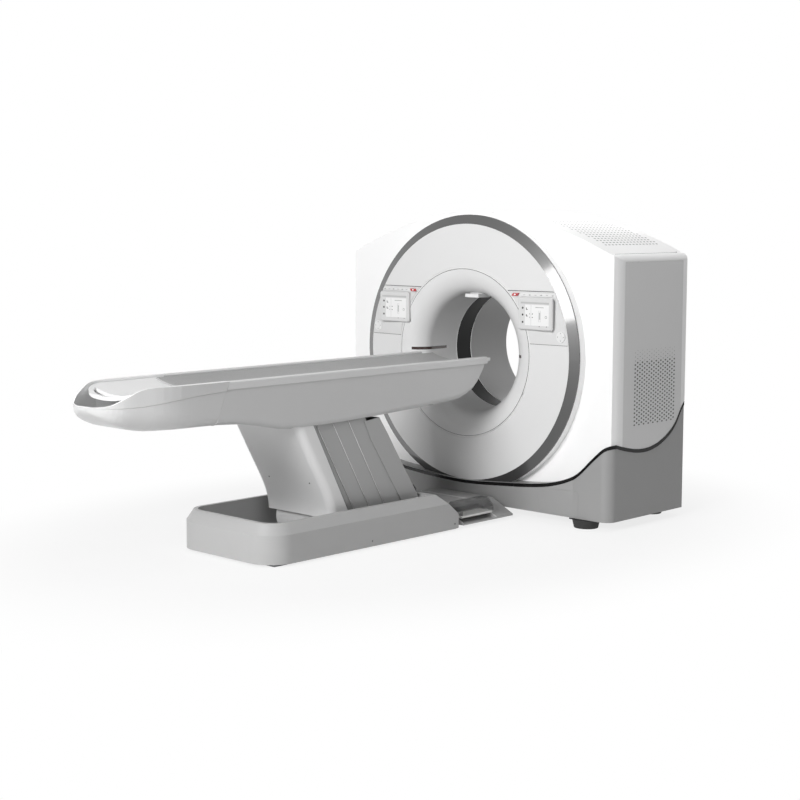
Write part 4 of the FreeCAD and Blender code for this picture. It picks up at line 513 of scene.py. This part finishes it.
def perforationTree():
    tree = bpy.data.node_groups.new("perforationField", "GeometryNodeTree")
    for kind, labels in field["inputs"].items():
        for label in labels:
            tree.interface.new_socket(label, in_out="INPUT", socket_type="NodeSocket" + kind)
    tree.interface.new_socket("Geometry", in_out="OUTPUT", socket_type="NodeSocketGeometry")
    board = NodeBoard(tree)
    given = board.node("NodeGroupInput").siblings()
    columns, rows = given["Columns"], given["Rows"]
    grid = board.node("GeometryNodeMeshGrid", {}, {
        "Vertices X": columns, "Vertices Y": rows, "Size X": (columns - 1.0) * given["Column Pitch"],
        "Size Y": (rows - 1.0) * given["Row Pitch"]})

    # every other row is shifted by half a pitch; the grid counts its points up each column
    row = board.node("GeometryNodeInputIndex") % rows
    shift = (row % 2.0 - 0.5) * (given["Column Pitch"] * 0.5)
    staggered = board.node("GeometryNodeSetPosition", {},
                           {"Geometry": grid, "Offset": board.vector(shift, 0.0, 0.0)})
    numbered = board.node("GeometryNodeStoreNamedAttribute", {"domain": "POINT", "data_type": "FLOAT"},
                          {"Geometry": staggered, "Name": "rowNumber", "Value": row})
    turned = board.node("GeometryNodeTransform", {}, {
        "Geometry": numbered, "Translation": given["Centre"], "Rotation": given["Turn"]})

    # each point falls on the surface along the cast, and remembers which way the wall faces there
    surface = board.node("GeometryNodeObjectInfo", {}, {"Object": given["Surface"]}, output="Geometry")
    cast = board.node("GeometryNodeRaycast", {}, {
        "Target Geometry": surface, "Ray Direction": given["Cast"],
        "Ray Length": field["castReach"]}).siblings()
    facing = board.node("GeometryNodeStoreNamedAttribute", {"domain": "POINT", "data_type": "FLOAT_VECTOR"},
                        {"Geometry": turned, "Name": "wallNormal", "Value": cast["Hit Normal"]})
    lift = board.vector(given["Lift"], given["Lift"], given["Lift"])
    lifted = board.node("ShaderNodeVectorMath", {"operation": "MULTIPLY_ADD"},
                        {0: cast["Hit Normal"], 1: lift, 2: cast["Hit Position"]})
    laid = board.node("GeometryNodeSetPosition", {}, {
        "Geometry": facing, "Selection": cast["Is Hit"], "Position": lifted})

    circle = board.node("GeometryNodeMeshCircle", {"fill_type": "NGON"},
                        {"Vertices": field["corners"], "Radius": field["radius"]})
    slotShape = board.node("GeometryNodeTransform", {}, {
        "Geometry": circle, "Scale": board.vector(given["Slot Width"], given["Slot Length"], 1.0)})
    wallNormal = board.node("GeometryNodeInputNamedAttribute", {"data_type": "FLOAT_VECTOR"},
                            {"Name": "wallNormal"}, output="Attribute")
    aligned = board.node("FunctionNodeAlignEulerToVector", {"axis": "Z"}, {"Vector": wallNormal})
    rowNumber = board.node("GeometryNodeInputNamedAttribute", {"data_type": "FLOAT"},
                           {"Name": "rowNumber"}, output="Attribute")

    # the rows at the top edge fade from their own starting size; the rest are full size
    share = (rows - 1.0 - rowNumber) / given["Fade Rows"]
    growing = given["Fade Start"] + share * (given["Fade End"] - given["Fade Start"])
    full = share > field["whole"]
    growth = full + (1.0 - full) * growing
    slots = board.node("GeometryNodeInstanceOnPoints", {}, {
        "Points": laid, "Instance": slotShape, "Rotation": aligned,
        "Scale": board.vector(growth, growth, growth)})
    real = board.node("GeometryNodeRealizeInstances", {}, {"Geometry": slots})
    painted = board.node("GeometryNodeSetMaterial", {}, {"Geometry": real, "Material": given["Material"]})
    board.node("NodeGroupOutput", {}, {"Geometry": painted})
    return tree


perforations = perforationTree()


def perforated(name, surface, look, settings):
    carrier = solidFrom(name, [(0, 0, 0)], [], [look])
    modifier = carrier.modifiers.new("field", "NODES")
    modifier.node_group = perforations
    for label, value in dict(settings, Surface=nodes[surface], Material=looks[look]).items():
        modifier[socketId(perforations, label)] = value
    graph = bpy.context.evaluated_depsgraph_get()
    graph.update()
    mesh = bpy.data.meshes.new_from_object(carrier.evaluated_get(graph))
    carrier.modifiers.clear()
    for attribute in ("rowNumber", "wallNormal"):
        if attribute in mesh.attributes:
            mesh.attributes.remove(mesh.attributes[attribute])
    carrier.data = mesh
    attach(carrier, base)
    print(name, len(mesh.polygons), "slots")


sideVent = {"columns": 9, "rows": 38, "columnPitch": 0.0454, "rowPitch": 0.0112, "width": 0.0090,
            "length": 0.0150, "centreY": 0.447 + ringPlane, "centreZ": 0.782, "castX": 1.05, "fadeRows": 6.0,
            "fadeStart": 0.30, "fadeEnd": 0.55, "lift": 0.0006}
roofVent = {"columns": 16, "rows": 22, "columnPitch": 0.0330, "rowPitch": 0.0290, "width": 0.0115,
            "length": 0.0190, "centreX": 0.545, "centreY": 0.420 + ringPlane, "castZ": 2.0, "fadeRows": 16.0,
            "fadeStart": 0.20, "fadeEnd": 1.0, "lift": 0.0006}


def fieldInputs(vent, centre, turn, cast):
    return {"Columns": vent["columns"], "Rows": vent["rows"], "Column Pitch": vent["columnPitch"],
            "Row Pitch": vent["rowPitch"], "Slot Width": vent["width"], "Slot Length": vent["length"],
            "Centre": centre, "Turn": turn, "Cast": cast, "Fade Rows": vent["fadeRows"],
            "Fade Start": vent["fadeStart"], "Fade End": vent["fadeEnd"], "Lift": vent["lift"]}


for side, sign in sides:
    perforated("sideVent" + side, "side_panels", "slotShadeSide", fieldInputs(
        sideVent, (sign * sideVent["castX"], sideVent["centreY"], sideVent["centreZ"]),
        (math.radians(90), 0.0, math.radians(90 * sign)), (-sign, 0.0, 0.0)))
    perforated("roofVent" + side, "roof_cover", "slotShadeRoof", fieldInputs(
        roofVent, (sign * roofVent["centreX"], roofVent["centreY"], roofVent["castZ"]),
        (0.0, 0.0, math.radians(90 * sign)), (0.0, 0.0, -1.0)))


# thin lines: joints that show as fine dark lines, two of them painted shade in a gap, and pale beads that
# are painted highlights on edges

def tubeAlong(name, points, width, look, body, closed=False, count=6):
    # a fine round bead along a line of points
    verts, faces = [], []
    total = len(points)
    for i, point in enumerate(points):
        before = points[i - 1] if (i > 0 or closed) else point
        after = points[(i + 1) % total] if (i < total - 1 or closed) else point
        run = (Vector(after) - Vector(before)).normalized()
        side = run.cross(Vector((0, 0, 1)) if abs(run.z) < 0.9 else Vector((1, 0, 0))).normalized()
        up = side.cross(run)
        for k in range(count):
            turn = 2 * math.pi * k / count
            verts.append(Vector(point) + (side * math.cos(turn) + up * math.sin(turn)) * width / 2)
    steps = total if closed else total - 1
    for i in range(steps):
        for k in range(count):
            a, b = i * count + k, i * count + (k + 1) % count
            c, d = ((i + 1) % total) * count + (k + 1) % count, ((i + 1) % total) * count + k
            faces.append((a, b, c, d))
    if not closed:
        faces.append(tuple(range(count)))
        faces.append(tuple(reversed(range((total - 1) * count, total * count))))
    piece = solidFrom(name, verts, faces, [look], smooth=True)
    turnOutward(piece)
    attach(piece, body)


def circlePoints(radius, y, count=180):
    turns = [2 * math.pi * i / count for i in range(count)]
    return [(radius * math.cos(turn), y, boreHeight + radius * math.sin(turn)) for turn in turns]


# the dark line at the disc's outer rim is painted shade in the gap; the pale beads on the funnel's ledge and
# on the window ring's two edges are painted highlights
ringLines = {"funnelMouthSeam": {"radius": 0.4877, "y": -0.0437, "width": 0.0032, "look": "lineDark"},
             "funnelMouthLedge": {"radius": 0.4935, "y": -0.0441, "width": 0.0060, "look": "lineHighlight"},
             "discOuterSeam": {"radius": 0.7499, "y": -0.0222, "width": 0.0026, "look": "lineDark"},
             "windowFrontSeam": {"radius": 0.3505, "y": 0.3025, "width": 0.0046, "look": "lineHighlight"},
             "windowRearSeam": {"radius": 0.3505, "y": 0.4375, "width": 0.0046, "look": "lineHighlight"}}
for name, line in ringLines.items():
    tubeAlong(name, circlePoints(line["radius"], ringPlane + line["y"]), line["width"], line["look"], base,
              closed=True)

fascia = {"lines": {"Top": (1.312, 0.0046), "Bottom": (1.017, 0.0034)}, "innerRadius": 0.500,
          "outerRadius": 0.744, "steps": 12, "proud": 0.0008}
for side, sign in sides:
    for label, (z, width) in fascia["lines"].items():
        inner = math.sqrt(fascia["innerRadius"] ** 2 - (z - boreHeight) ** 2)
        outer = math.sqrt(fascia["outerRadius"] ** 2 - (z - boreHeight) ** 2)
        line = []
        for i in range(fascia["steps"] + 1):
            x = inner + (outer - inner) * i / fascia["steps"]
            line.append((sign * x, coneY(math.hypot(x, z - boreHeight)) - fascia["proud"], z))
        tubeAlong("fascia" + label + "Line" + side, line, width, "lineDark", base)

# the column: a dark line in the gap behind the front shell, painted shade, and a pale edge on each sliding
# strip, a painted highlight
column = {"shellX": 0.2564, "shellRear": [(-1.628, 0.163), (-1.885, 0.646), (-1.914, 0.700)],
          "gapWidth": 0.0026, "stripFirstX": 0.2382, "stripPitchX": 0.003, "stripLow": 0.098,
          "stripHigh": 0.700, "stripMiddle": 0.438, "lean": math.tan(math.radians(30)),
          "stripFront": [-1.341, -1.228, -1.115], "edgeWidth": 0.0022}
for side, sign in sides:
    gap = [(sign * column["shellX"], y, z) for y, z in column["shellRear"]]
    tubeAlong("shellGap" + side, gap, column["gapWidth"], "lineMiddle", "front_arm")
    for index, front in enumerate(column["stripFront"]):
        x = sign * (column["stripFirstX"] + column["stripPitchX"] * (index + 1))
        edge = [(x, front + ringPlane + (column["stripMiddle"] - z) * column["lean"], z)
                for z in (column["stripLow"], column["stripHigh"])]
        number = str(index + 2)
        tubeAlong("stripEdge" + number + side, edge, column["edgeWidth"], "lineHighlight", "strip_" + number)

# a pale bead along the platform's edge, a painted highlight
platform = {"y": -0.170 + ringPlane, "width": 0.0026,
            "points": [(-0.366, 0.0308), (-0.210, 0.1086), (0.210, 0.1086), (0.366, 0.0308)]}
tubeAlong("platformJoint", [(x, platform["y"], z) for x, z in platform["points"]], platform["width"],
          "lineHighlight", base)
shoulder = {"x": 0.9578, "z": 1.5244, "frontY": -0.290, "rearY": 0.312, "turnIn": 0.016, "rise": 0.006,
            "width": 0.0030}
for side, sign in sides:
    seam = [(sign * shoulder["x"], shoulder["frontY"], shoulder["z"]),
            (sign * shoulder["x"], shoulder["rearY"], shoulder["z"]),
            (sign * (shoulder["x"] - shoulder["turnIn"]), shoulder["rearY"] + shoulder["turnIn"],
             shoulder["z"] + shoulder["rise"])]
    tubeAlong("shoulderSeam" + side, seam, shoulder["width"], "lineMiddle", base)
print("joint lines made")


# small screw heads, set on the surface by a ray

screws = {"radius": 0.0043, "corners": 14, "profile": [(-0.0002, 1.0), (0.0007, 1.0), (0.0011, 0.7)],
          "columnX": 0.155, "columnY": -1.830, "columnZ": 0.350, "columnAim": (0.0, 0.866, 0.5),
          "baseZ": 0.040, "baseY": (-1.188, -0.531), "reach": 0.5}


def stud(name, surface, start, direction, body):
    tree = BVHTree.FromObject(nodes[surface], bpy.context.evaluated_depsgraph_get())
    place, normal = tree.ray_cast(Vector(start), Vector(direction))[:2]
    upright = normal.to_track_quat("Z", "Y")
    count = screws["corners"]
    verts = []
    for rise, share in screws["profile"]:
        size = screws["radius"] * share
        for i in range(count):
            turn = 2 * math.pi * i / count
            verts.append(place + upright @ Vector((size * math.cos(turn), size * math.sin(turn), rise)))
    faces = [tuple(range(count))[::-1], tuple(range(2 * count, 3 * count))]
    for ring in (0, count):
        for i in range(count):
            after = (i + 1) % count
            faces.append((ring + i, ring + after, ring + count + after, ring + count + i))
    piece = solidFrom(name, verts, faces, ["screwSteel"])
    turnOutward(piece)
    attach(piece, body)


for side, sign in sides:
    aim, reach = screws["columnAim"], screws["reach"]
    start = (sign * screws["columnX"], screws["columnY"] - reach * aim[1],
             screws["columnZ"] - reach * aim[2])
    stud("columnScrew" + side, "column_front_shell", start, aim, "front_arm")
    for index, y in enumerate(screws["baseY"]):
        stud("baseScrew" + str(index + 1) + side, "table_base_shell",
             (sign, y + ringPlane, screws["baseZ"]), (-sign, 0.0, 0.0), base)
print("screws set")


# tablets: a generic page with a header bar, a column of dots, two panels and simple drawings

tabletLow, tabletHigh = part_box("tablets")
tabletPage = {"inner": 0.417, "border": 0.017, "sunk": 0.0012, "step": 0.0002}
# a block is its left, right, top and bottom share of the page, a dot its place, radius and corners
pageShapes = [("block", "screenPale", 0, (0.0, 1.0, 0.0, 1.0)),
              ("block", "screenBar", 1, (0.02, 0.98, 0.05, 0.115)),
              ("block", "screenPanel", 1, (0.165, 0.36, 0.15, 0.94)),
              ("block", "screenPanel", 1, (0.38, 0.975, 0.15, 0.94))]
pageShapes += [("dot", "screenInk", 1, (0.085, v, 0.0062, 20)) for v in (0.28, 0.54, 0.82)]
for v in (0.27, 0.52):
    pageShapes += [("block", "screenInk", 2, (0.20, 0.225, v, v + 0.08)),
                   ("block", "screenInk", 2, (0.20, 0.26, v + 0.055, v + 0.08))]
for v in (0.50, 0.63):
    pageShapes += [("dot", "screenInk", 2, (0.42, v, 0.0032, 12)),
                   ("block", "screenSoft", 2, (0.315, 0.335, v - 0.02, v + 0.02))]
pageShapes += [("block", "screenSoft", 2, (0.52, 0.80, 0.235, 0.255)),
               ("block", "screenSoft", 2, (0.635, 0.641, 0.36, 0.80)),
               ("block", "screenSoft", 2, (0.685, 0.691, 0.36, 0.80)),
               ("block", "screenBar", 2, (0.645, 0.683, 0.44, 0.70)),
               ("dot", "screenSoft", 2, (0.88, 0.60, 0.0075, 20)),
               ("dot", "screenPanel", 3, (0.88, 0.60, 0.0050, 20))]
pageShapes += [("dot", "screenInk", 1, (u, 0.965, 0.0026, 10)) for u in (0.66, 0.90)]
keyMarking = {"count": 6, "firstX": 0.449, "pitchX": 0.038, "z": 1.291, "proud": 0.0075, "thick": 0.0008,
              "across": (0.007, 0.0012), "upright": (0.0012, 0.0045)}
stopMarking = {"x": 0.3895, "y": -0.0563, "z": 1.2915, "wide": 0.008, "slant": 0.001, "high": 0.005,
               "thick": 0.0003}
padMarking = {"x": 0.697, "y": -0.0343, "z": 1.064, "tip": 0.0245, "back": 0.0185, "half": 0.0045,
              "thick": 0.0003}


def makePage(side, sign):
    page = Plates("tabletPage" + side, ["screenPale", "screenPanel", "screenBar", "screenInk", "screenSoft"])
    border, step = tabletPage["border"], tabletPage["step"]
    x0, x1 = tabletPage["inner"] + border, tabletHigh[0] - border
    z0, z1 = tabletLow[2] + border, tabletHigh[2] - border
    y = tabletLow[1] + tabletPage["sunk"] - step
    left = x0 if sign > 0 else -x1
    wide, high = x1 - x0, z1 - z0
    for kind, look, layer, (a, b, c, d) in pageShapes:
        frontY = y - layer * step
        if kind == "block":
            page.bar(left + a * wide, left + b * wide, z1 - d * high, z1 - c * high, frontY, step, look)
        else:
            page.disc(left + a * wide, z1 - b * high, c, frontY, step, look, d)
    page.make(base)


def markKeys(side, sign):
    marks = Plates("keyMarks" + side, ["markGrey"])
    z = keyMarking["z"]
    for index in range(keyMarking["count"]):
        x = (keyMarking["firstX"] + index * keyMarking["pitchX"]) * sign
        frontY = coneY(math.hypot(x, z - boreHeight)) - keyMarking["proud"]
        for wide, high in (keyMarking["across"], keyMarking["upright"])[:1 + index % 2]:
            marks.bar(x - wide, x + wide, z - high, z + high, frontY, keyMarking["thick"], "markGrey")
    marks.make(base)


def markStop(side, sign):
    stop = Plates("stopMark" + side, ["markWhite"])
    x, z = stopMarking["x"] * sign, stopMarking["z"]
    wide, slant, high = stopMarking["wide"], stopMarking["slant"], stopMarking["high"]
    stop.plate([(x - wide, z), (x - slant, z - high), (x + wide, z), (x + slant, z + high)],
               ringPlane + stopMarking["y"], stopMarking["thick"], "markWhite")
    stop.make("e_stop_" + side.lower())


def markPad(side, sign):
    pad = Plates("padMark" + side, ["markGrey"])
    for quarter in range(4):
        turn = math.radians(90 * quarter)
        tip, back = [(padMarking["x"] * sign + padMarking[key] * math.cos(turn),
                      padMarking["z"] + padMarking[key] * math.sin(turn)) for key in ("tip", "back")]
        acrossX, acrossZ = -math.sin(turn) * padMarking["half"], math.cos(turn) * padMarking["half"]
        pad.plate([tip, (back[0] + acrossX, back[1] + acrossZ), (back[0] - acrossX, back[1] - acrossZ)],
                  ringPlane + padMarking["y"], padMarking["thick"], "markGrey")
    pad.make("pad_" + side.lower())


for side, sign in sides:
    makePage(side, sign)
    markKeys(side, sign)
    markStop(side, sign)
    markPad(side, sign)
print("tablets and keys marked")


# the mat: a sewn vinyl pad that lies in the cradle's arc

cradleBed = {"half": 0.228, "edge": 0.925, "middle": 0.885}
mat = {"half": 0.2145, "footY": -2.149 + ringPlane, "headY": -0.071 + ringPlane, "thick": 0.0096,
       "round": 0.009, "roundness": 2.4, "seamIn": 0.016, "seamDeep": 0.0016, "seamWide": 0.0012,
       "crown": 0.0004, "least": 0.0003, "under": 0.0002, "across": 66, "along": 240,
       "edge": [0.0, 0.0008, 0.002, 0.004, 0.0065, 0.009, 0.0125, 0.0148, 0.016, 0.0172, 0.0195]}


def cradleArc(x):
    half, rise = cradleBed["half"], cradleBed["edge"] - cradleBed["middle"]
    radius = (half ** 2 + rise ** 2) / (2 * rise)
    return cradleBed["middle"] + radius - math.sqrt(radius ** 2 - x ** 2)


def makeMat():
    width, length = mat["half"] * 2, mat["headY"] - mat["footY"]

    def spread(count, size):
        # points gather towards both edges, where the pad rounds over and its seam runs
        edge = mat["edge"]
        inner = [edge[-1] + (size - 2 * edge[-1]) * i / (count - 1) for i in range(1, count - 1)]
        return edge + inner + [size - value for value in edge[::-1]]

    us = spread(mat["across"], width)
    vs = spread(mat["along"], length)

    def top(u, v):
        near = min(u, width - u, v, length - v)
        rim = min(near / mat["round"], 1.0)
        height = mat["thick"] * (1 - (1 - rim) ** mat["roundness"]) ** (1 / mat["roundness"])
        seam = math.exp(-((near - mat["seamIn"]) / mat["seamWide"]) ** 2) * mat["seamDeep"]
        crown = mat["crown"] * math.sin(math.pi * u / width)
        return max(height - seam - mat["crown"] + crown, mat["least"])

    def layer(heightAt):
        return [(u - mat["half"], mat["footY"] + v, cradleArc(u - mat["half"]) + heightAt(u, v))
                for v in vs for u in us]

    wide = len(us)
    verts = layer(top)
    start = len(verts)
    verts += layer(lambda u, v: mat["under"])
    faces = [(j * wide + i, j * wide + i + 1, (j + 1) * wide + i + 1, (j + 1) * wide + i)
             for j in range(len(vs) - 1) for i in range(wide - 1)]
    faces += [tuple(start + index for index in reversed(face)) for face in faces]
    border = list(range(wide))
    border += [j * wide + wide - 1 for j in range(1, len(vs))]
    border += [(len(vs) - 1) * wide + i for i in range(wide - 2, -1, -1)]
    border += [j * wide for j in range(len(vs) - 2, 0, -1)]
    for a, b in zip(border, border[1:] + border[:1]):
        faces.append((a, start + a, start + b, b))
    piece = solidFrom("tableMat", verts, faces, ["matVinyl"], smooth=True)
    turnOutward(piece)
    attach(piece, "cradle")
    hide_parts("mat")


makeMat()
print("mat made")


# stage, light and camera

plainWhite = (1.0, 1.0, 1.0, 1.0)
studio = {"floorSize": 60.0, "paper": (236, 242), "paperScale": 3.0, "paperRough": 0.9, "nearWhite": 0.80,
          "fadeFrom": 0.95, "fadeOver": 0.75, "centreY": -1.1, "stretchX": 0.80, "stretchY": 0.55,
          "world": 0.125}
lamps = {"key": {"place": (1.5, -9.7, 4.4), "target": (0.0, -0.6, 0.9), "size": (4.5, 3.5), "power": 810},
         "fill": {"place": (9.0, -3.5, 3.0), "target": (0.0, -1.0, 0.8), "size": (4.0, 3.0), "power": 62},
         "behind": {"place": (-3.5, 5.0, 2.6), "target": (0.0, 0.2, 1.0), "size": (3.0, 3.0), "power": 62},
         "roof": {"place": (1.25, 0.1, 3.6), "target": (0.85, 0.0, 1.5), "size": (1.2, 1.2), "power": 22}}


def straightRays(board):
    # 1 where the camera, a mirror or a glass looks at the surface, 0 for the light that it sheds
    path = board.node("ShaderNodeLightPath").siblings()
    return path["Is Camera Ray"].larger(path["Is Glossy Ray"]).larger(path["Is Transmission Ray"])


def makeFloor():
    # pale paper that turns to plain white with the distance from the object, so no horizon shows
    paper = Finish("floorPaper")
    low, high = studio["paper"]
    paper.set("Base Color", paper.mix(paper.noise(studio["paperScale"]), tone(low), tone(high)))
    paper.set("Roughness", studio["paperRough"])
    paper.set("Specular IOR Level", 0.0)
    x, y, z = paper.axes()
    across = x * studio["stretchX"]
    along = (y - studio["centreY"]) * studio["stretchY"]
    away = (across * across + along * along) ** 0.5
    share = ((away - studio["fadeFrom"]) / studio["fadeOver"]).clamped()
    white = share * share * (3.0 - 2.0 * share)
    shown = (studio["nearWhite"] + (1.0 - studio["nearWhite"]) * white) * straightRays(paper)
    glow = paper.node("ShaderNodeEmission", {}, {"Color": plainWhite, "Strength": 1.0})
    sheet = Wire(paper.tree, paper.shader.outputs[0])
    blend = paper.node("ShaderNodeMixShader", {}, {0: shown, 1: sheet, 2: glow})
    feed(paper.tree, paper.output, "Surface", blend)
    size = studio["floorSize"]
    floor = solidFrom("floor", [(-size, -size, 0), (size, -size, 0), (size, size, 0), (-size, size, 0)],
                      [(0, 1, 2, 3)], [])
    floor.data.materials.append(paper.material)


def makeWorld():
    world = bpy.data.worlds.new("studio")
    world.use_nodes = True
    scene.world = world
    board = NodeBoard(world.node_tree)
    around, seen = [board.node("ShaderNodeBackground", {}, {"Color": plainWhite, "Strength": strength})
                    for strength in (studio["world"], 1.0)]
    blend = board.node("ShaderNodeMixShader", {}, {0: straightRays(board), 1: around, 2: seen})
    board.node("ShaderNodeOutputWorld", {}, {"Surface": blend})


def makeLamp(name, settings):
    light = bpy.data.lights.new(name, "AREA")
    light.shape = "RECTANGLE"
    light.size, light.size_y = settings["size"]
    light.energy = settings["power"]
    made = bpy.data.objects.new(name, light)
    scene.collection.objects.link(made)
    made.location = settings["place"]
    aim = Vector(settings["target"]) - made.location
    made.rotation_euler = aim.to_track_quat("-Z", "Y").to_euler()


makeFloor()
makeWorld()
for name, settings in lamps.items():
    makeLamp(name, settings)

shot = {"place": (5.966, -7.407, 1.725), "azimuth": 45.2009, "down": 5.538, "focal": 1569.185,
        "axisX": 335.92, "axisY": 369.43, "frame": 800.0, "sensor": 36.0, "reach": 200.0}
camera = bpy.data.objects.new("camera", bpy.data.cameras.new("camera"))
scene.collection.objects.link(camera)
azimuth, down = math.radians(shot["azimuth"]), math.radians(shot["down"])
ahead = Vector((-math.sin(azimuth) * math.cos(down), math.cos(azimuth) * math.cos(down), -math.sin(down)))
camera.location = shot["place"]
camera.rotation_euler = ahead.to_track_quat("-Z", "Y").to_euler()
camera.data.sensor_width = shot["sensor"]
camera.data.lens = shot["focal"] / shot["frame"] * shot["sensor"]
camera.data.shift_x = (shot["frame"] / 2 - shot["axisX"]) / shot["frame"]
camera.data.shift_y = -(shot["frame"] / 2 - shot["axisY"]) / shot["frame"]
camera.data.clip_end = shot["reach"]
scene.camera = camera
scene.view_settings.view_transform = "Standard"
print("stage, light and camera set")
